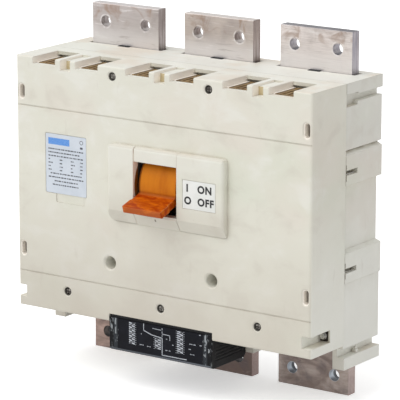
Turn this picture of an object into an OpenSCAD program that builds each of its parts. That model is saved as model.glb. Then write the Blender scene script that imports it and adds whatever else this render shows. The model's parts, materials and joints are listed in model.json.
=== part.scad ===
// Three-pole moulded-case circuit breaker with flat terminal bars, a toggle handle and a trip unit.
// Millimetres, +Z up. The origin is the centre of the rear mounting face, and the front faces -Y.

/* [Housing] */
// Width of the housing
body_w = 428; // [420:1:460]
// Height of the front cover
cover_h = 312; // [300:1:340]
// Depth from the rear mounting face to the front face
body_d = 150; // [145:1:190]
// Depth of the front cover
cover_d = 72; // [70:1:85]
// Radius of the vertical front edges
edge_r = 4; // [1:0.5:5]
// Radius of the upper and lower front edges
top_edge_r = 2; // [1:0.5:3]
// Width of the groove along the joint of cover and base
seam_w = 0.8; // [0.6:0.1:2]
// Depth of the groove along the joint of cover and base
seam_deep = 0.6; // [0.4:0.1:1.5]
// Height of the upper decorative line above the middle of the cover
upper_line_z = 95.6; // [88:0.2:98]
// Height of the lower decorative line below the middle of the cover
lower_line_z = 111.4; // [106:0.2:114]
// Width and depth of the decorative lines
line_w = 1.3; // [0.8:0.1:2]

/* [Base sides] */
// Drop of the side skirts and barriers below the cover
skirt_drop = 30.5; // [24:0.5:36]
// Thickness of each side skirt
skirt_w = 16; // [12:1:18]
// Free space between a lower bar and the barrier beside it
barrier_gap = 3; // [2:0.5:6]
// Wall of the hollow barrier
barrier_wall = 4; // [3:0.5:6]
// Depth of the sunk panel in the middle of each side
side_sink = 7; // [3:0.5:8]
// Slope of the upper and lower edges of the side bosses
side_bevel = 2.5; // [1:0.5:4]
// Depth of the upper side block below the side face
upper_sink = 1; // [0.5:0.5:2]
// Depth of the lower side block below the side face
lower_sink = 2; // [0.5:0.5:3]
// Height of the upper edge of the upper side boss
boss_top_z = 71.5; // [66:0.5:74]
// Height of one side boss
boss_h = 36; // [30:1:38]
// Distance between the middles of the two side bosses
boss_pitch = 117; // [110:1:122]
// Width of the gap above the upper side boss
boss_gap = 6.5; // [3:0.5:8]
// Height of the finger groove along the top of each side
finger_h = 9; // [6:0.5:12]
// Distance of the finger groove below the top
finger_drop = 15; // [13:0.5:20]
// Depth of the finger groove
finger_deep = 8; // [4:0.5:9]
// Widening of the finger groove at its front end
finger_step = 4; // [1:0.5:5]
// Height of the channel along the foot of each side
foot_channel_h = 11; // [6:0.5:12]
// Depth of the channel along the foot of each side
foot_channel_deep = 10; // [4:0.5:12]
// Height of the flange under the foot channel
foot_flange_h = 14.5; // [10:0.5:18]
// Depth of the relief pockets in the rear face
rear_deep = 3; // [1:0.5:5]
// Width of the ribs between the relief pockets
rear_rib = 24; // [16:1:30]
// Corner radius of the relief pockets
rear_r = 6; // [2:0.5:10]

/* [Mounting] */
// Distance of the mounting holes from the side faces
mount_inset = 8; // [7:0.5:10]
// Diameter of the mounting holes in the base
mount_hole_d = 7; // [6:0.5:8]
// Height of the upper mounting holes above the middle
mount_upper_z = 112; // [106:1:116]
// Height of the lower mounting holes below the middle
mount_lower_z = 83.5; // [74:0.5:92]
// Width of the access slots in the cover
access_w = 7; // [6:0.5:9]
// Length of the access slots in the cover
access_l = 17; // [14:0.5:22]
// Width of the sloping rim round the access slots
access_rim = 2; // [0.5:0.1:3]
// Width of the bolt notches in the lower cover corners
notch_w = 12.5; // [12:0.5:15]
// Height of the bolt notches
notch_h = 15; // [12:0.5:16]
// Depth of the bolt notches
notch_d = 41; // [30:1:50]
// Height of the middle of the bolt notches above the foot of the cover
notch_z = 18.6; // [16:0.2:24]

/* [Poles] */
// Width of the housing beyond the outer poles
pole_margin = 5.5; // [3:0.5:10]
// Free width between neighbouring bars
bar_space = 39; // [34:1:48]
// Thickness of a terminal bar
bar_t = 15; // [12:0.5:20]
// Distance of the bars from the mounting face
bar_back = 13; // [9:0.5:15]
// Height of the upper bars above the cover
bar_rise = 50.2; // [44:0.2:60]
// Drop of the lower bars below the cover
bar_drop = 78; // [70:1:90]
// Length of a bar inside the base
bar_seat = 60; // [40:1:80]
// Free space at each side of a bar
bar_side_gap = 5; // [2:0.5:6]
// Free space in front of a bar
bar_front_gap = 1.5; // [1:0.5:3]
// Broken edge at the free end of a bar
bar_edge = 0.8; // [0.4:0.1:2]
// Diameter of the terminal holes
bar_hole_d = 14; // [11:0.5:17]
// Distance of the holes from the sides of a bar
bar_hole_inset = 20; // [16:1:26]
// Distance of the holes from the end of a bar
bar_hole_edge = 22; // [15:1:26]
// Width of the notch in front of each upper bar
bar_notch_w = 17; // [8:1:24]
// Reach of the notch in front of each upper bar
bar_notch_d = 6; // [3:0.5:8]
// Depth of the notch in front of each upper bar
bar_notch_deep = 12; // [6:1:20]

/* [Vents] */
// Free width between the vents of neighbouring poles
vent_space = 41; // [34:1:50]
// Half width of the divider between a pair of vents
vent_half = 15; // [13:0.5:16]
// Reach of the vent openings behind the front face
vent_d = 50; // [40:1:52]
// Thickness of the lowered lip in front of a vent
vent_wall = 7; // [4:0.5:9]
// Drop of the front lip below the top of the cover
vent_lip = 8; // [4:0.5:10]
// Depth of the vent pockets below the top of the cover
vent_deep = 52; // [40:1:56]
// Width of the channel in the divider
channel_w = 15; // [8:0.5:20]
// Height of the channel in the divider
channel_h = 12.5; // [8:0.5:16]
// Depth of the channel behind the front face
channel_d = 13; // [8:1:20]
// Reach of the shallow groove that carries the channel on along the top
groove_run = 45; // [30:1:50]
// Depth of the shallow groove
groove_deep = 2.5; // [1:0.5:5]
// Reach of the undercut behind a vent opening
vent_under = 7; // [4:0.5:9]
// Thickness of the top of the cover above the undercut
vent_roof = 4.5; // [3:0.5:6]
// Depth of the arc chutes below the top of the cover
chute_sink = 7; // [5.5:0.5:14]
// Width of the exhaust slots in the top of an arc chute
chute_slot_w = 3.4; // [2.6:0.2:4.4]
// Thickness of the fibre walls of an arc chute
chute_wall = 2; // [1.5:0.5:3]
// Free space between an arc chute and its pocket
chute_fit = 0.3; // [0.2:0.1:0.6]
// Thickness of one splitter plate
plate_t = 1.6; // [1:0.2:2]
// Depth of the splitter plates below the top of their chute
plate_sink = 3; // [1:0.5:6]

/* [Cover screws] */
// Diameter of the recesses for the cover screws
screw_hole_d = 9.5; // [7:0.5:12]
// Depth of the recesses for the cover screws
screw_hole_deep = 7; // [4:0.5:12]
// Width of the sloping rim round each round recess
recess_rim = 1.8; // [0.5:0.1:3]
// Distance of the upper screws below the top of the cover
screw_top = 11.6; // [8:0.2:13]
// Height of the lower screws above the foot of the cover
screw_foot = 27; // [22:0.5:32]
// Diameter of the two deep access holes
deep_hole_d = 16; // [12:0.5:20]
// Depth of the two deep access holes
deep_hole_deep = 30; // [15:1:40]
// Half distance between the two deep access holes
deep_hole_x = 74; // [66:0.5:80]
// Height of the deep access holes below the middle of the cover
deep_hole_z = 83.5; // [74:0.5:92]

/* [Rating plate recess] */
// Width of the shallow recess for the rating plate
plate_w = 62; // [50:1:70]
// Height of the shallow recess
plate_h = 74; // [66:1:80]
// Height of the narrower foot of the recess
plate_tab_h = 10.5; // [4:0.5:16]
// Distance of the narrower foot from the left edge of the recess
plate_tab_in = 16; // [8:1:18]
// Width of the narrower foot
plate_tab_w = 42; // [30:1:44]
// Distance of the recess from the left side face
plate_left = 44; // [36:1:50]
// Height of the upper edge of the recess above the middle of the cover
plate_top_z = 65.5; // [56:0.5:72]
// Depth of the recess
plate_deep = 0.8; // [0.4:0.1:1.5]
// Corner radius of the recess
plate_r = 2; // [1:0.5:4]

/* [Escutcheon] */
// Reach of the escutcheon to the left of the middle
esc_left = 70; // [62:1:78]
// Reach of the escutcheon to the right of the middle
esc_right = 98; // [94:1:106]
// Height of the upper edge above the middle of the cover
esc_top_z = 65.5; // [60:0.5:70]
// Drop of the lower edge below the middle of the cover
esc_foot_z = 29; // [24:0.5:32]
// Height of the escutcheon above the front face
esc_proud = 10; // [8:0.5:12]
// Thickness of the mounting plate under the blocks
esc_plate_t = 2; // [1.5:0.5:3]
// Corner radius at the left
esc_r = 8; // [3:0.5:10]
// Corner radius at the right
esc_right_r = 4; // [2:0.5:8]
// Radius of the upper and outer front edges of the blocks
esc_edge_r = 4; // [1:0.5:6]
// Height of the sloping lower edge of the blocks
esc_slope = 15; // [10:0.5:16]
// Distance of the middle bars behind the faces of the blocks
esc_bar_set = 1; // [0.5:0.1:2]
// Width of the joints beside the middle bars
esc_joint = 0.6; // [0.3:0.1:1]
// Height of the handle opening
opening_h = 61; // [58:0.5:63]
// Width of the label recess in the right block
label_w = 47.5; // [40:0.5:54]
// Height of the label recess
label_h = 35; // [28:0.5:40]
// Distance of the label recess from the handle opening
label_in = 8.5; // [4:0.5:12]
// Height of the middle of the label recess above the middle of the cover
label_z = 19; // [14:0.5:24]
// Depth of the label recess
label_deep = 0.5; // [0.3:0.1:1]

/* [Handle] */
// Height of the handle pivot above the middle of the cover
pivot_z = 18; // [16:0.5:21]
// Depth of the handle pivot behind the front face
pivot_deep = 37; // [35:0.5:40]
// Radius of the drum
drum_r = 42; // [40:0.5:43]
// Wall of the drum
drum_wall = 4; // [3:0.5:6]
// Width of the handle
handle_w = 53; // [46:1:56]
// Running clearance round the handle
handle_clear = 5; // [5:0.5:6]
// Reach of the lever from the pivot
lever_reach = 76.6; // [70:0.2:90]
// Thickness of the lever
lever_t = 8.6; // [6:0.2:10]
// Radius of the edges at the tip of the lever
lever_r = 2; // [1:0.2:3]
// Widening of the lever in front of the escutcheon, at each side
lever_flare = 1.5; // [0.5:0.5:2]
// Distance of the widening from the pivot
flare_reach = 58; // [58:0.5:64]
// Height of the sloping fillet where the lever leaves the drum
lever_fillet = 2.5; // [1:0.5:4]
// Angle of the lever below the horizontal at rest
lever_rest = 17; // [12:1:20]
// Angle of the drum below the lever
drum_low = 8; // [6:1:12]
// Angle of the drum above the lever
drum_high = 68; // [62:1:72]
// Wall of the hub round the shaft
hub_wall = 5; // [4:0.5:6]
// Room behind the pivot for the hub
cavity_back = 18; // [15:1:20]
// Diameter of the pivot shaft
shaft_d = 8; // [6:0.5:10]
// Length of the shaft in each side wall
shaft_seat = 9; // [6:1:14]

/* [Trip unit] */
// Width of the trip unit
trip_w = 150; // [140:1:160]
// Height of the trip unit
trip_h = 44.4; // [38:0.2:46]
// Height of the cut-out for the trip unit above the foot of the cover
trip_cut_h = 9.6; // [6:0.2:12]
// Free space round the trip unit
trip_gap = 0.8; // [0.3:0.1:1]
// Width of the clear side clips
trip_clip_w = 13; // [8:0.5:14]
// Thickness of the face plate
trip_face_t = 2; // [1.5:0.5:3]
// Distance of the face plate and the side clips below the top of the trip unit
trip_face_drop = 3.4; // [1:0.2:4.4]
// Height of the sloping lip under the face plate
trip_lip = 4; // [3:0.5:6]
// Distance between the ribs on the sides of the case
rib_pitch = 4; // [3:0.5:6]
// Depth of the grooves between the ribs
rib_deep = 0.8; // [0.4:0.1:1.5]
// Distance of the ribs from the front and the back of the case
rib_in = 8; // [4:1:14]
// Width of a selector switch bank
bank_w = 8.5; // [6:0.5:10]
// Height of the tall selector switch banks
bank_h = 27; // [20:0.5:28]
// Height of the short selector switch bank
short_bank_h = 13.5; // [10:0.5:18]
// Distance of the left bank from the left end of the trip unit
bank_left_in = 33.5; // [28:0.5:40]
// Distance of the short bank to the left of the middle
bank_short_x = 3; // [0:0.5:8]
// Distance of the right bank from the right end of the trip unit
bank_right_in = 45.5; // [40:0.5:50]
// Distance of the banks below the top of the trip unit
bank_drop = 5; // [3:0.5:8]
// Thickness of a selector switch bank
bank_t = 1.2; // [0.8:0.1:1.5]
// Height of one step of a selector switch bank
bank_step = 2.7; // [2:0.1:4]
// Depth of the steps in a selector switch bank
bank_step_deep = 0.4; // [0.2:0.1:0.6]

/* [Cover clips] */
// Length of the clip slots along the sides
clip_l = 25; // [18:1:30]
// Height of the clip slots
clip_h = 6; // [5:0.5:8]
// Depth of the clip slots
clip_deep = 9; // [7:0.5:10]
// Distance of the clip slots below the middle of the side bosses
clip_drop = 3; // [0:0.5:5]
// Thickness of the spring clips
clip_t = 1.5; // [1:0.1:2]
// Distance of the spring clips behind the side face
clip_set = 2.5; // [1:0.5:4]
// Free length behind a spring clip
clip_end = 4; // [2:0.5:8]
// Height of the slit along the joint at each clip
slit_h = 19; // [14:0.5:24]
// Width of the slit along the joint
slit_w = 1.6; // [1:0.1:2.5]
// Depth of the slit along the joint
slit_deep = 6; // [3:0.5:8]

/* [Hidden] */
$fn = 64;

ivory = "#e3dfcd";
eps = 0.01;
// Overshoot of a cut beyond the face it opens
over = 1;
half_w = body_w / 2;
half_h = cover_h / 2;
front_y = -body_d;
joint_y = front_y + cover_d;
base_foot_z = -half_h - skirt_drop;
mount_x = half_w - mount_inset;

pole_pitch = (body_w - 2 * pole_margin) / 3;
bar_w = pole_pitch - bar_space;
bar_hole_pitch = bar_w - 2 * bar_hole_inset;
bar_front = bar_back + bar_t;
slot_w = bar_w + 2 * bar_side_gap;
barrier_w = bar_space - 2 * barrier_gap;

boss_z = [boss_top_z - boss_h / 2, boss_top_z - boss_h / 2 - boss_pitch];
finger_z = half_h - finger_drop;

vent_w = (pole_pitch - vent_space) / 2 - vent_half;
vent_x = vent_half + vent_w / 2;
chute_w = vent_w - 2 * chute_fit;
chute_d = vent_d - vent_wall - chute_fit;
chute_h = vent_deep - chute_sink;
chute_slots = 4;
plate_fit = 0.3;

opening_w = handle_w + 2 * handle_clear;
cavity_r = drum_r + 1.1 * handle_clear;
pivot_y = front_y + pivot_deep;
opening_top_z = pivot_z + opening_h / 2;
opening_foot_z = pivot_z - opening_h / 2;
hub_r = shaft_d / 2 + hub_wall;
running_fit = 0.08;
shaft_fit = 0.05;
shaft_end = 0.2;

trip_top_z = -half_h + trip_cut_h - trip_gap;
trip_foot_z = trip_top_z - trip_h;
face_top_z = trip_top_z - trip_face_drop;
trip_back_y = joint_y - trip_gap / 2;
face_w = trip_w - 2 * trip_clip_w;
bank_foot_z = trip_top_z - bank_drop - bank_h;
bank_left_x = -trip_w / 2 + bank_left_in;
bank_right_x = trip_w / 2 - bank_right_in;

// Row of x positions of the three poles
function pole_x(i) = (i - 1) * pole_pitch;

// A block given by its lowest corner and its highest corner
module span(low, high) {
    translate(low)
        cube(high - low);
}

// A rectangle with rounded corners, given by its lower left and upper right corners
module round_span(low, high, r) {
    size = high - low;
    translate([low.x + r, low.y])
        square([size.x - 2 * r, size.y]);
    translate([low.x, low.y + r])
        square([size.x, size.y - 2 * r]);
    for (x = [low.x + r, high.x - r], y = [low.y + r, high.y - r])
        translate([x, y])
            circle(r);
}

// Extrudes a drawing in the front plane (x, z) backwards from y_front by depth
module front_extrude(y_front, depth) {
    translate([0, y_front + depth, 0])
        rotate([90, 0, 0])
            linear_extrude(depth)
                children();
}

// Extrudes a drawing in the side plane (y, z) from x_low to x_high
module side_extrude(x_low, x_high) {
    translate([x_low, 0, 0])
        rotate([90, 0, 90])
            linear_extrude(x_high - x_low)
                children();
}

// Extrudes a drawing in plan (x, y) from z_low to z_high
module plan_extrude(z_low, z_high) {
    translate([0, 0, z_low])
        linear_extrude(z_high - z_low)
            children();
}

// A round hole or pin along Y
module y_cylinder(x, y_front, z, d, length) {
    translate([x, y_front, z])
        rotate([-90, 0, 0])
            cylinder(d = d, h = length);
}

// A round hole or pin along X
module x_cylinder(x_low, x_high, d) {
    translate([x_low, 0, 0])
        rotate([0, 90, 0])
            cylinder(d = d, h = x_high - x_low);
}

// Repeats its children on the right side and, mirrored, on the left side
module both_sides() {
    children();
    mirror([1, 0, 0])
        children();
}

// Cut along the right side of the base: as wide as stated at the side face, narrower at its floor
module side_cut(z_low, z_high, deep, bevel) {
    front_extrude(joint_y - over, over - joint_y + over)
        polygon([
            [half_w - deep, z_low + bevel],
            [half_w, z_low],
            [half_w + over, z_low],
            [half_w + over, z_high],
            [half_w, z_high],
            [half_w - deep, z_high - bevel]
        ]);
}

// All that is cut from one side of the base, which leaves two bosses, two blocks and a foot flange
module side_cuts() {
    boss_foot = [for (z = boss_z) z - boss_h / 2];
    channel_z = base_foot_z + foot_flange_h;
    gap_top = boss_top_z + boss_gap;
    side_cut(boss_top_z, gap_top, boss_gap, boss_gap / 2 - eps);
    side_cut(boss_z[1] + boss_h / 2, boss_foot[0], side_sink, side_bevel);
    side_cut(gap_top - side_bevel, finger_z - finger_h / 2, upper_sink, 0);
    side_cut(channel_z, boss_foot[1], lower_sink, 0);
    side_cut(finger_z - finger_h, finger_z, finger_deep, 0);
    side_cut(channel_z, channel_z + foot_channel_h, foot_channel_deep, 0);
    // Wider front end of the finger groove
    span([half_w - finger_deep, joint_y - over, finger_z - finger_h - finger_step],
         [half_w + over, joint_y + clip_l, finger_z + finger_step / 2]);
    // Slots for the spring clips, with a slit along the joint
    for (z = boss_z) {
        clip_slot(z - clip_drop);
        span([half_w - slit_deep, joint_y - over, z - clip_drop - slit_h / 2],
             [half_w + over, joint_y + slit_w, z - clip_drop + slit_h / 2]);
    }
}

module clip_slot(z) {
    span([half_w - clip_deep, joint_y - over, z - clip_h / 2],
         [half_w + over, joint_y + clip_l, z + clip_h / 2]);
}

// Hollow barrier between two lower bars, open at the foot and the back
module lower_barrier(x) {
    inner_half = barrier_w / 2 - barrier_wall;
    difference() {
        span([x - barrier_w / 2, joint_y, base_foot_z], [x + barrier_w / 2, 0, -half_h + over]);
        span([x - inner_half, joint_y + barrier_wall, base_foot_z - over],
             [x + inner_half, over, -half_h - barrier_wall]);
    }
}

// Slot for one bar in the top or the foot of the base
module bar_slot(x, z_low, z_high) {
    span([x - slot_w / 2, -bar_front - bar_front_gap, z_low], [x + slot_w / 2, -bar_back, z_high]);
}

// Two shallow relief pockets in the rear face behind one pole, above and below a middle rib
module rear_pockets(x) {
    half = (pole_pitch - rear_rib) / 2;
    for (side = [0, 1])
        mirror([0, 0, side])
            front_extrude(-rear_deep, rear_deep + over)
                round_span([x - half, rear_rib / 2], [x + half, half_h - rear_rib], rear_r);
}

module base_housing() {
    color(ivory)
        difference() {
            union() {
                span([-half_w, joint_y, -half_h], [half_w, 0, half_h]);
                both_sides()
                    span([half_w - skirt_w, joint_y, base_foot_z], [half_w, 0, -half_h + over]);
                for (x = [pole_x(0), pole_x(1)])
                    lower_barrier(x + pole_pitch / 2);
            }
            both_sides()
                side_cuts();
            for (i = [0 : 2]) {
                bar_slot(pole_x(i), half_h - bar_seat, half_h + over);
                bar_slot(pole_x(i), -half_h - over, -half_h + bar_seat);
                span([pole_x(i) - bar_notch_w / 2, -bar_front - bar_notch_d, half_h - bar_notch_deep],
                     [pole_x(i) + bar_notch_w / 2, -bar_front, half_h + over]);
                rear_pockets(pole_x(i));
            }
            for (x = [-mount_x, mount_x], z = [mount_upper_z, -mount_lower_z, -half_h + notch_z])
                y_cylinder(x, joint_y - over, z, mount_hole_d, -joint_y + 2 * over);
        }
}

// Pocket of one arc vent: an opening in the top with a lowered front lip, and an undercut behind it
module vent_pocket(x) {
    span([x - vent_w / 2, front_y + vent_wall, half_h - vent_deep],
         [x + vent_w / 2, front_y + vent_d, half_h + over]);
    span([x - vent_w / 2, front_y + vent_d - over, half_h - vent_deep],
         [x + vent_w / 2, front_y + vent_d + vent_under, half_h - vent_roof]);
    span([x - vent_w / 2, front_y - over, half_h - vent_lip],
         [x + vent_w / 2, front_y + vent_wall + over, half_h + over]);
}

// Channel in the divider between a pair of vents, open at the front and the top, with a groove behind it
module vent_channel(x) {
    span([x - channel_w / 2, front_y - over, half_h - channel_h],
         [x + channel_w / 2, front_y + channel_d, half_h + over]);
    span([x - channel_w / 2, front_y + channel_d - over, half_h - groove_deep],
         [x + channel_w / 2, front_y + groove_run, half_h + over]);
}

// Room for the drum and lever of the handle, with a round roof and floor about the pivot
module handle_cavity() {
    side_extrude(-opening_w / 2, opening_w / 2)
        translate([pivot_y, pivot_z])
            intersection() {
                circle(cavity_r);
                translate([-2 * cavity_r, -2 * cavity_r])
                    square([2 * cavity_r + cavity_back, 4 * cavity_r]);
            }
    translate([0, pivot_y, pivot_z])
        x_cylinder(-opening_w / 2 - shaft_seat, opening_w / 2 + shaft_seat, shaft_d + 2 * shaft_fit);
}

// Sloping rim round a hole of radius r in the front face
module hole_rim(x, z, r, rim) {
    translate([x, front_y - over, z])
        rotate([-90, 0, 0])
            cylinder(r1 = r + rim + over, r2 = r, h = rim + over);
}

// Blind round recess in the front face, with a sloping rim
module front_recess(x, z, d, deep) {
    y_cylinder(x, front_y - over, z, d, deep + over);
    hole_rim(x, z, d / 2, recess_rim);
}

// Slot with round ends and a sloping rim through the cover, in front of a mounting hole
module access_slot(x, z) {
    r = access_w / 2;
    half = access_l / 2 - r;
    front_extrude(front_y - over, cover_d + 2 * over) {
        for (side = [-1, 1])
            translate([x, z + side * half])
                circle(r);
        translate([x - r, z - half])
            square([access_w, 2 * half]);
    }
    for (side = [-1, 1])
        hole_rim(x, z + side * half, r, access_rim);
    plan_extrude(z - half, z + half)
        polygon([
            [x - r - access_rim - over, front_y - over],
            [x + r + access_rim + over, front_y - over],
            [x + r, front_y + access_rim],
            [x - r, front_y + access_rim]
        ]);
}

// Recess for the rating plate, with a narrower foot
module plate_recess() {
    left = -half_w + plate_left;
    front_extrude(front_y - over, plate_deep + over) {
        round_span([left, plate_top_z - plate_h], [left + plate_w, plate_top_z], plate_r);
        round_span([left + plate_tab_in, plate_top_z - plate_h - plate_tab_h],
                   [left + plate_tab_in + plate_tab_w, plate_top_z - plate_h / 2], plate_r);
    }
}

// Bolt notch in a lower corner of the cover, with the bolt hole in its back wall
module bolt_notch() {
    z = -half_h + notch_z;
    span([half_w - notch_w, front_y - over, z - notch_h / 2],
         [half_w + over, front_y + notch_d, z + notch_h / 2]);
    y_cylinder(mount_x, front_y + notch_d - over, z, mount_hole_d, cover_d - notch_d + 2 * over);
}

// Cover without its cuts: rounded front edges, and a spigot that leaves a groove along the joint
module cover_block() {
    intersection() {
        plan_extrude(-half_h, half_h)
            round_span([-half_w, front_y], [half_w, joint_y + edge_r], edge_r);
        side_extrude(-half_w, half_w)
            round_span([front_y, -half_h], [joint_y + top_edge_r, half_h], top_edge_r);
        span([-half_w, front_y, -half_h], [half_w, joint_y - seam_w, half_h]);
    }
    span([-half_w + seam_deep, joint_y - seam_w - over, -half_h + seam_deep],
         [half_w - seam_deep, joint_y, half_h - seam_deep]);
}

module front_cover() {
    color(ivory)
        difference() {
            cover_block();
            for (z = [upper_line_z, -lower_line_z])
                span([-half_w - over, front_y - over, z - line_w / 2],
                     [half_w + over, front_y + line_w, z + line_w / 2]);
            for (i = [0 : 2]) {
                vent_pocket(pole_x(i) - vent_x);
                vent_pocket(pole_x(i) + vent_x);
                vent_channel(pole_x(i));
                front_recess(pole_x(i), -half_h + screw_foot, screw_hole_d, screw_hole_deep);
            }
            handle_cavity();
            for (side = [-1, 1]) {
                front_recess(side * pole_pitch / 2, half_h - screw_top, screw_hole_d, screw_hole_deep);
                front_recess(side * deep_hole_x, -deep_hole_z, deep_hole_d, deep_hole_deep);
            }
            plate_recess();
            for (x = [-mount_x, mount_x], z = [mount_upper_z, -mount_lower_z])
                access_slot(x, z);
            both_sides()
                bolt_notch();
            span([-trip_w / 2 - trip_gap, front_y - over, -half_h - over],
                 [trip_w / 2 + trip_gap, joint_y + over, -half_h + trip_cut_h]);
        }
}

// Outline of the whole escutcheon in the front plane
module escutcheon_outline() {
    overlap = esc_r + esc_right_r;
    round_span([-esc_left, -esc_foot_z], [overlap, esc_top_z], esc_r);
    round_span([-overlap, -esc_foot_z], [esc_right, esc_top_z], esc_right_r);
}

// Side outline (y, z) of the escutcheon: a round upper edge and a sloping lower edge
module escutcheon_profile(proud) {
    intersection() {
        round_span([front_y - proud, -esc_foot_z - 2 * esc_edge_r], [front_y + esc_edge_r, esc_top_z],
                   esc_edge_r);
        polygon([
            [front_y, -esc_foot_z],
            [front_y - esc_plate_t, -esc_foot_z],
            [front_y - esc_proud, -esc_foot_z + esc_slope],
            [front_y - esc_proud, esc_top_z],
            [front_y, esc_top_z]
        ]);
    }
}

// Plate with two middle bars, one above and one below the handle opening
module escutcheon_plate() {
    bar_half = opening_w / 2 - esc_joint;
    color(ivory)
        difference() {
            union() {
                front_extrude(front_y - esc_plate_t, esc_plate_t)
                    escutcheon_outline();
                side_extrude(-bar_half, bar_half)
                    escutcheon_profile(esc_proud - esc_bar_set);
            }
            span([-opening_w / 2, front_y - esc_proud, opening_foot_z],
                 [opening_w / 2, front_y + over, opening_top_z]);
        }
}

// One block of the escutcheon between two x positions; outer is -1 if its outer edge is at the left
module escutcheon_block(x_low, x_high, outer) {
    inside = 2 * esc_edge_r;
    round_low = outer < 0 ? x_low : x_low - inside;
    round_high = outer < 0 ? x_high + inside : x_high;
    intersection() {
        front_extrude(front_y - esc_proud, esc_proud - esc_plate_t)
            intersection() {
                escutcheon_outline();
                translate([x_low, -esc_foot_z])
                    square([x_high - x_low, esc_foot_z + esc_top_z]);
            }
        side_extrude(x_low, x_high)
            escutcheon_profile(esc_proud);
        plan_extrude(-esc_foot_z, esc_top_z)
            round_span([round_low, front_y - esc_proud], [round_high, front_y + esc_edge_r], esc_edge_r);
    }
}

module escutcheon_left_block() {
    color(ivory)
        escutcheon_block(-esc_left, -opening_w / 2, -1);
}

module escutcheon_right_block() {
    label_x = opening_w / 2 + label_in;
    color(ivory)
        difference() {
            escutcheon_block(opening_w / 2, esc_right, 1);
            span([label_x, front_y - esc_proud - over, label_z - label_h / 2],
                 [label_x + label_w, front_y - esc_proud + label_deep, label_z + label_h / 2]);
        }
}

// Sector of a ring about the X axis, between angles measured upwards from the lever
module drum_sector(r_in, r_out, x_low, x_high) {
    far = 2 * r_out;
    middle = (drum_high - drum_low) / 2;
    side_extrude(x_low, x_high)
        intersection() {
            difference() {
                circle(r_out);
                circle(r_in);
            }
            polygon([
                [0, 0],
                [-far * cos(drum_low), -far * sin(drum_low)],
                [-2 * far * cos(middle), 2 * far * sin(middle)],
                [-far * cos(drum_high), far * sin(drum_high)]
            ]);
        }
}

// Flat lever with round edges at its tip, a widening in front of the escutcheon and a sloping fillet
module lever() {
    half = handle_w / 2;
    tip_half = half + lever_flare;
    root = -drum_r + drum_wall / 2;
    intersection() {
        side_extrude(-tip_half, tip_half) {
            round_span([-lever_reach, -lever_t / 2], [root + lever_r, lever_t / 2], lever_r);
            polygon([
                [root, lever_t / 2 - eps],
                [root, lever_t / 2 + lever_fillet],
                [-drum_r - lever_fillet, lever_t / 2 - eps]
            ]);
        }
        plan_extrude(-lever_reach, lever_reach) {
            translate([-half, -flare_reach - lever_r])
                square([handle_w, flare_reach + lever_r + root]);
            round_span([-tip_half, -lever_reach], [tip_half, -flare_reach], lever_r);
        }
    }
}

module operating_handle() {
    half = handle_w / 2;
    color("darkorange")
        translate([0, pivot_y, pivot_z])
            rotate([lever_rest, 0, 0])
                difference() {
                    union() {
                        drum_sector(drum_r - drum_wall, drum_r, -half, half);
                        drum_sector(hub_r - hub_wall / 2, drum_r, -half, -half + drum_wall);
                        drum_sector(hub_r - hub_wall / 2, drum_r, half - drum_wall, half);
                        x_cylinder(-half, half, 2 * hub_r);
                        lever();
                    }
                    x_cylinder(-half - over, half + over, shaft_d + 2 * running_fit);
                }
}

module handle_shaft() {
    end_x = opening_w / 2 + shaft_seat - shaft_end;
    color("silver")
        translate([0, pivot_y, pivot_z])
            x_cylinder(-end_x, end_x, shaft_d);
}

// Flat bar with two holes and broken edges near its free end, seated in the base at its other end
module terminal_bar(x, z_free, z_seat) {
    inwards = z_seat > z_free ? 1 : -1;
    z_edge = z_free + inwards * bar_edge;
    z_hole = z_free + inwards * bar_hole_edge;
    color("#b9a8a0")
        difference() {
            side_extrude(x - bar_w / 2, x + bar_w / 2)
                polygon([
                    [-bar_front, z_seat],
                    [-bar_front, z_edge],
                    [-bar_front + bar_edge, z_free],
                    [-bar_back - bar_edge, z_free],
                    [-bar_back, z_edge],
                    [-bar_back, z_seat]
                ]);
            for (side = [-1, 1])
                y_cylinder(x + side * bar_hole_pitch / 2, -bar_front - over, z_hole, bar_hole_d,
                           bar_t + 2 * over);
        }
}

module upper_terminal(i) {
    terminal_bar(pole_x(i), half_h + bar_rise, half_h - bar_seat);
}

module lower_terminal(i) {
    terminal_bar(pole_x(i), -half_h - bar_drop, -half_h + bar_seat);
}

module upper_terminal_left() { upper_terminal(0); }
module upper_terminal_centre() { upper_terminal(1); }
module upper_terminal_right() { upper_terminal(2); }
module lower_terminal_left() { lower_terminal(0); }
module lower_terminal_centre() { lower_terminal(1); }
module lower_terminal_right() { lower_terminal(2); }

// Slots of an arc chute, which hold its splitter plates: children are placed at each slot
module at_chute_slots(i) {
    inner_w = chute_w - 2 * chute_wall;
    pitch = inner_w / chute_slots;
    for (side = [-1, 1], k = [0 : chute_slots - 1])
        translate([pole_x(i) + side * vent_x - inner_w / 2 + (k + 0.5) * pitch,
                   front_y + vent_wall + chute_fit, half_h - vent_deep])
            children();
}

// Pair of fibre chutes in the vents of one pole, with a row of exhaust slots in their tops
module arc_chute(i) {
    color("#b08a5a")
        difference() {
            for (side = [-1, 1])
                translate([pole_x(i) + side * vent_x - chute_w / 2,
                           front_y + vent_wall + chute_fit, half_h - vent_deep])
                    cube([chute_w, chute_d, chute_h]);
            at_chute_slots(i)
                translate([-chute_slot_w / 2, chute_wall, chute_h / 2])
                    cube([chute_slot_w, chute_d - 2 * chute_wall, chute_h]);
        }
}

// Steel splitter plates standing in the slots of one pole's chutes
module splitter_plates(i) {
    color("dimgray")
        at_chute_slots(i)
            translate([-plate_t / 2, chute_wall + plate_fit, chute_h / 2])
                cube([plate_t, chute_d - 2 * chute_wall - 2 * plate_fit, chute_h / 2 - plate_sink]);
}

module arc_chute_left() { arc_chute(0); }
module arc_chute_centre() { arc_chute(1); }
module arc_chute_right() { arc_chute(2); }
module splitter_plates_left() { splitter_plates(0); }
module splitter_plates_centre() { splitter_plates(1); }
module splitter_plates_right() { splitter_plates(2); }

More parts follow.
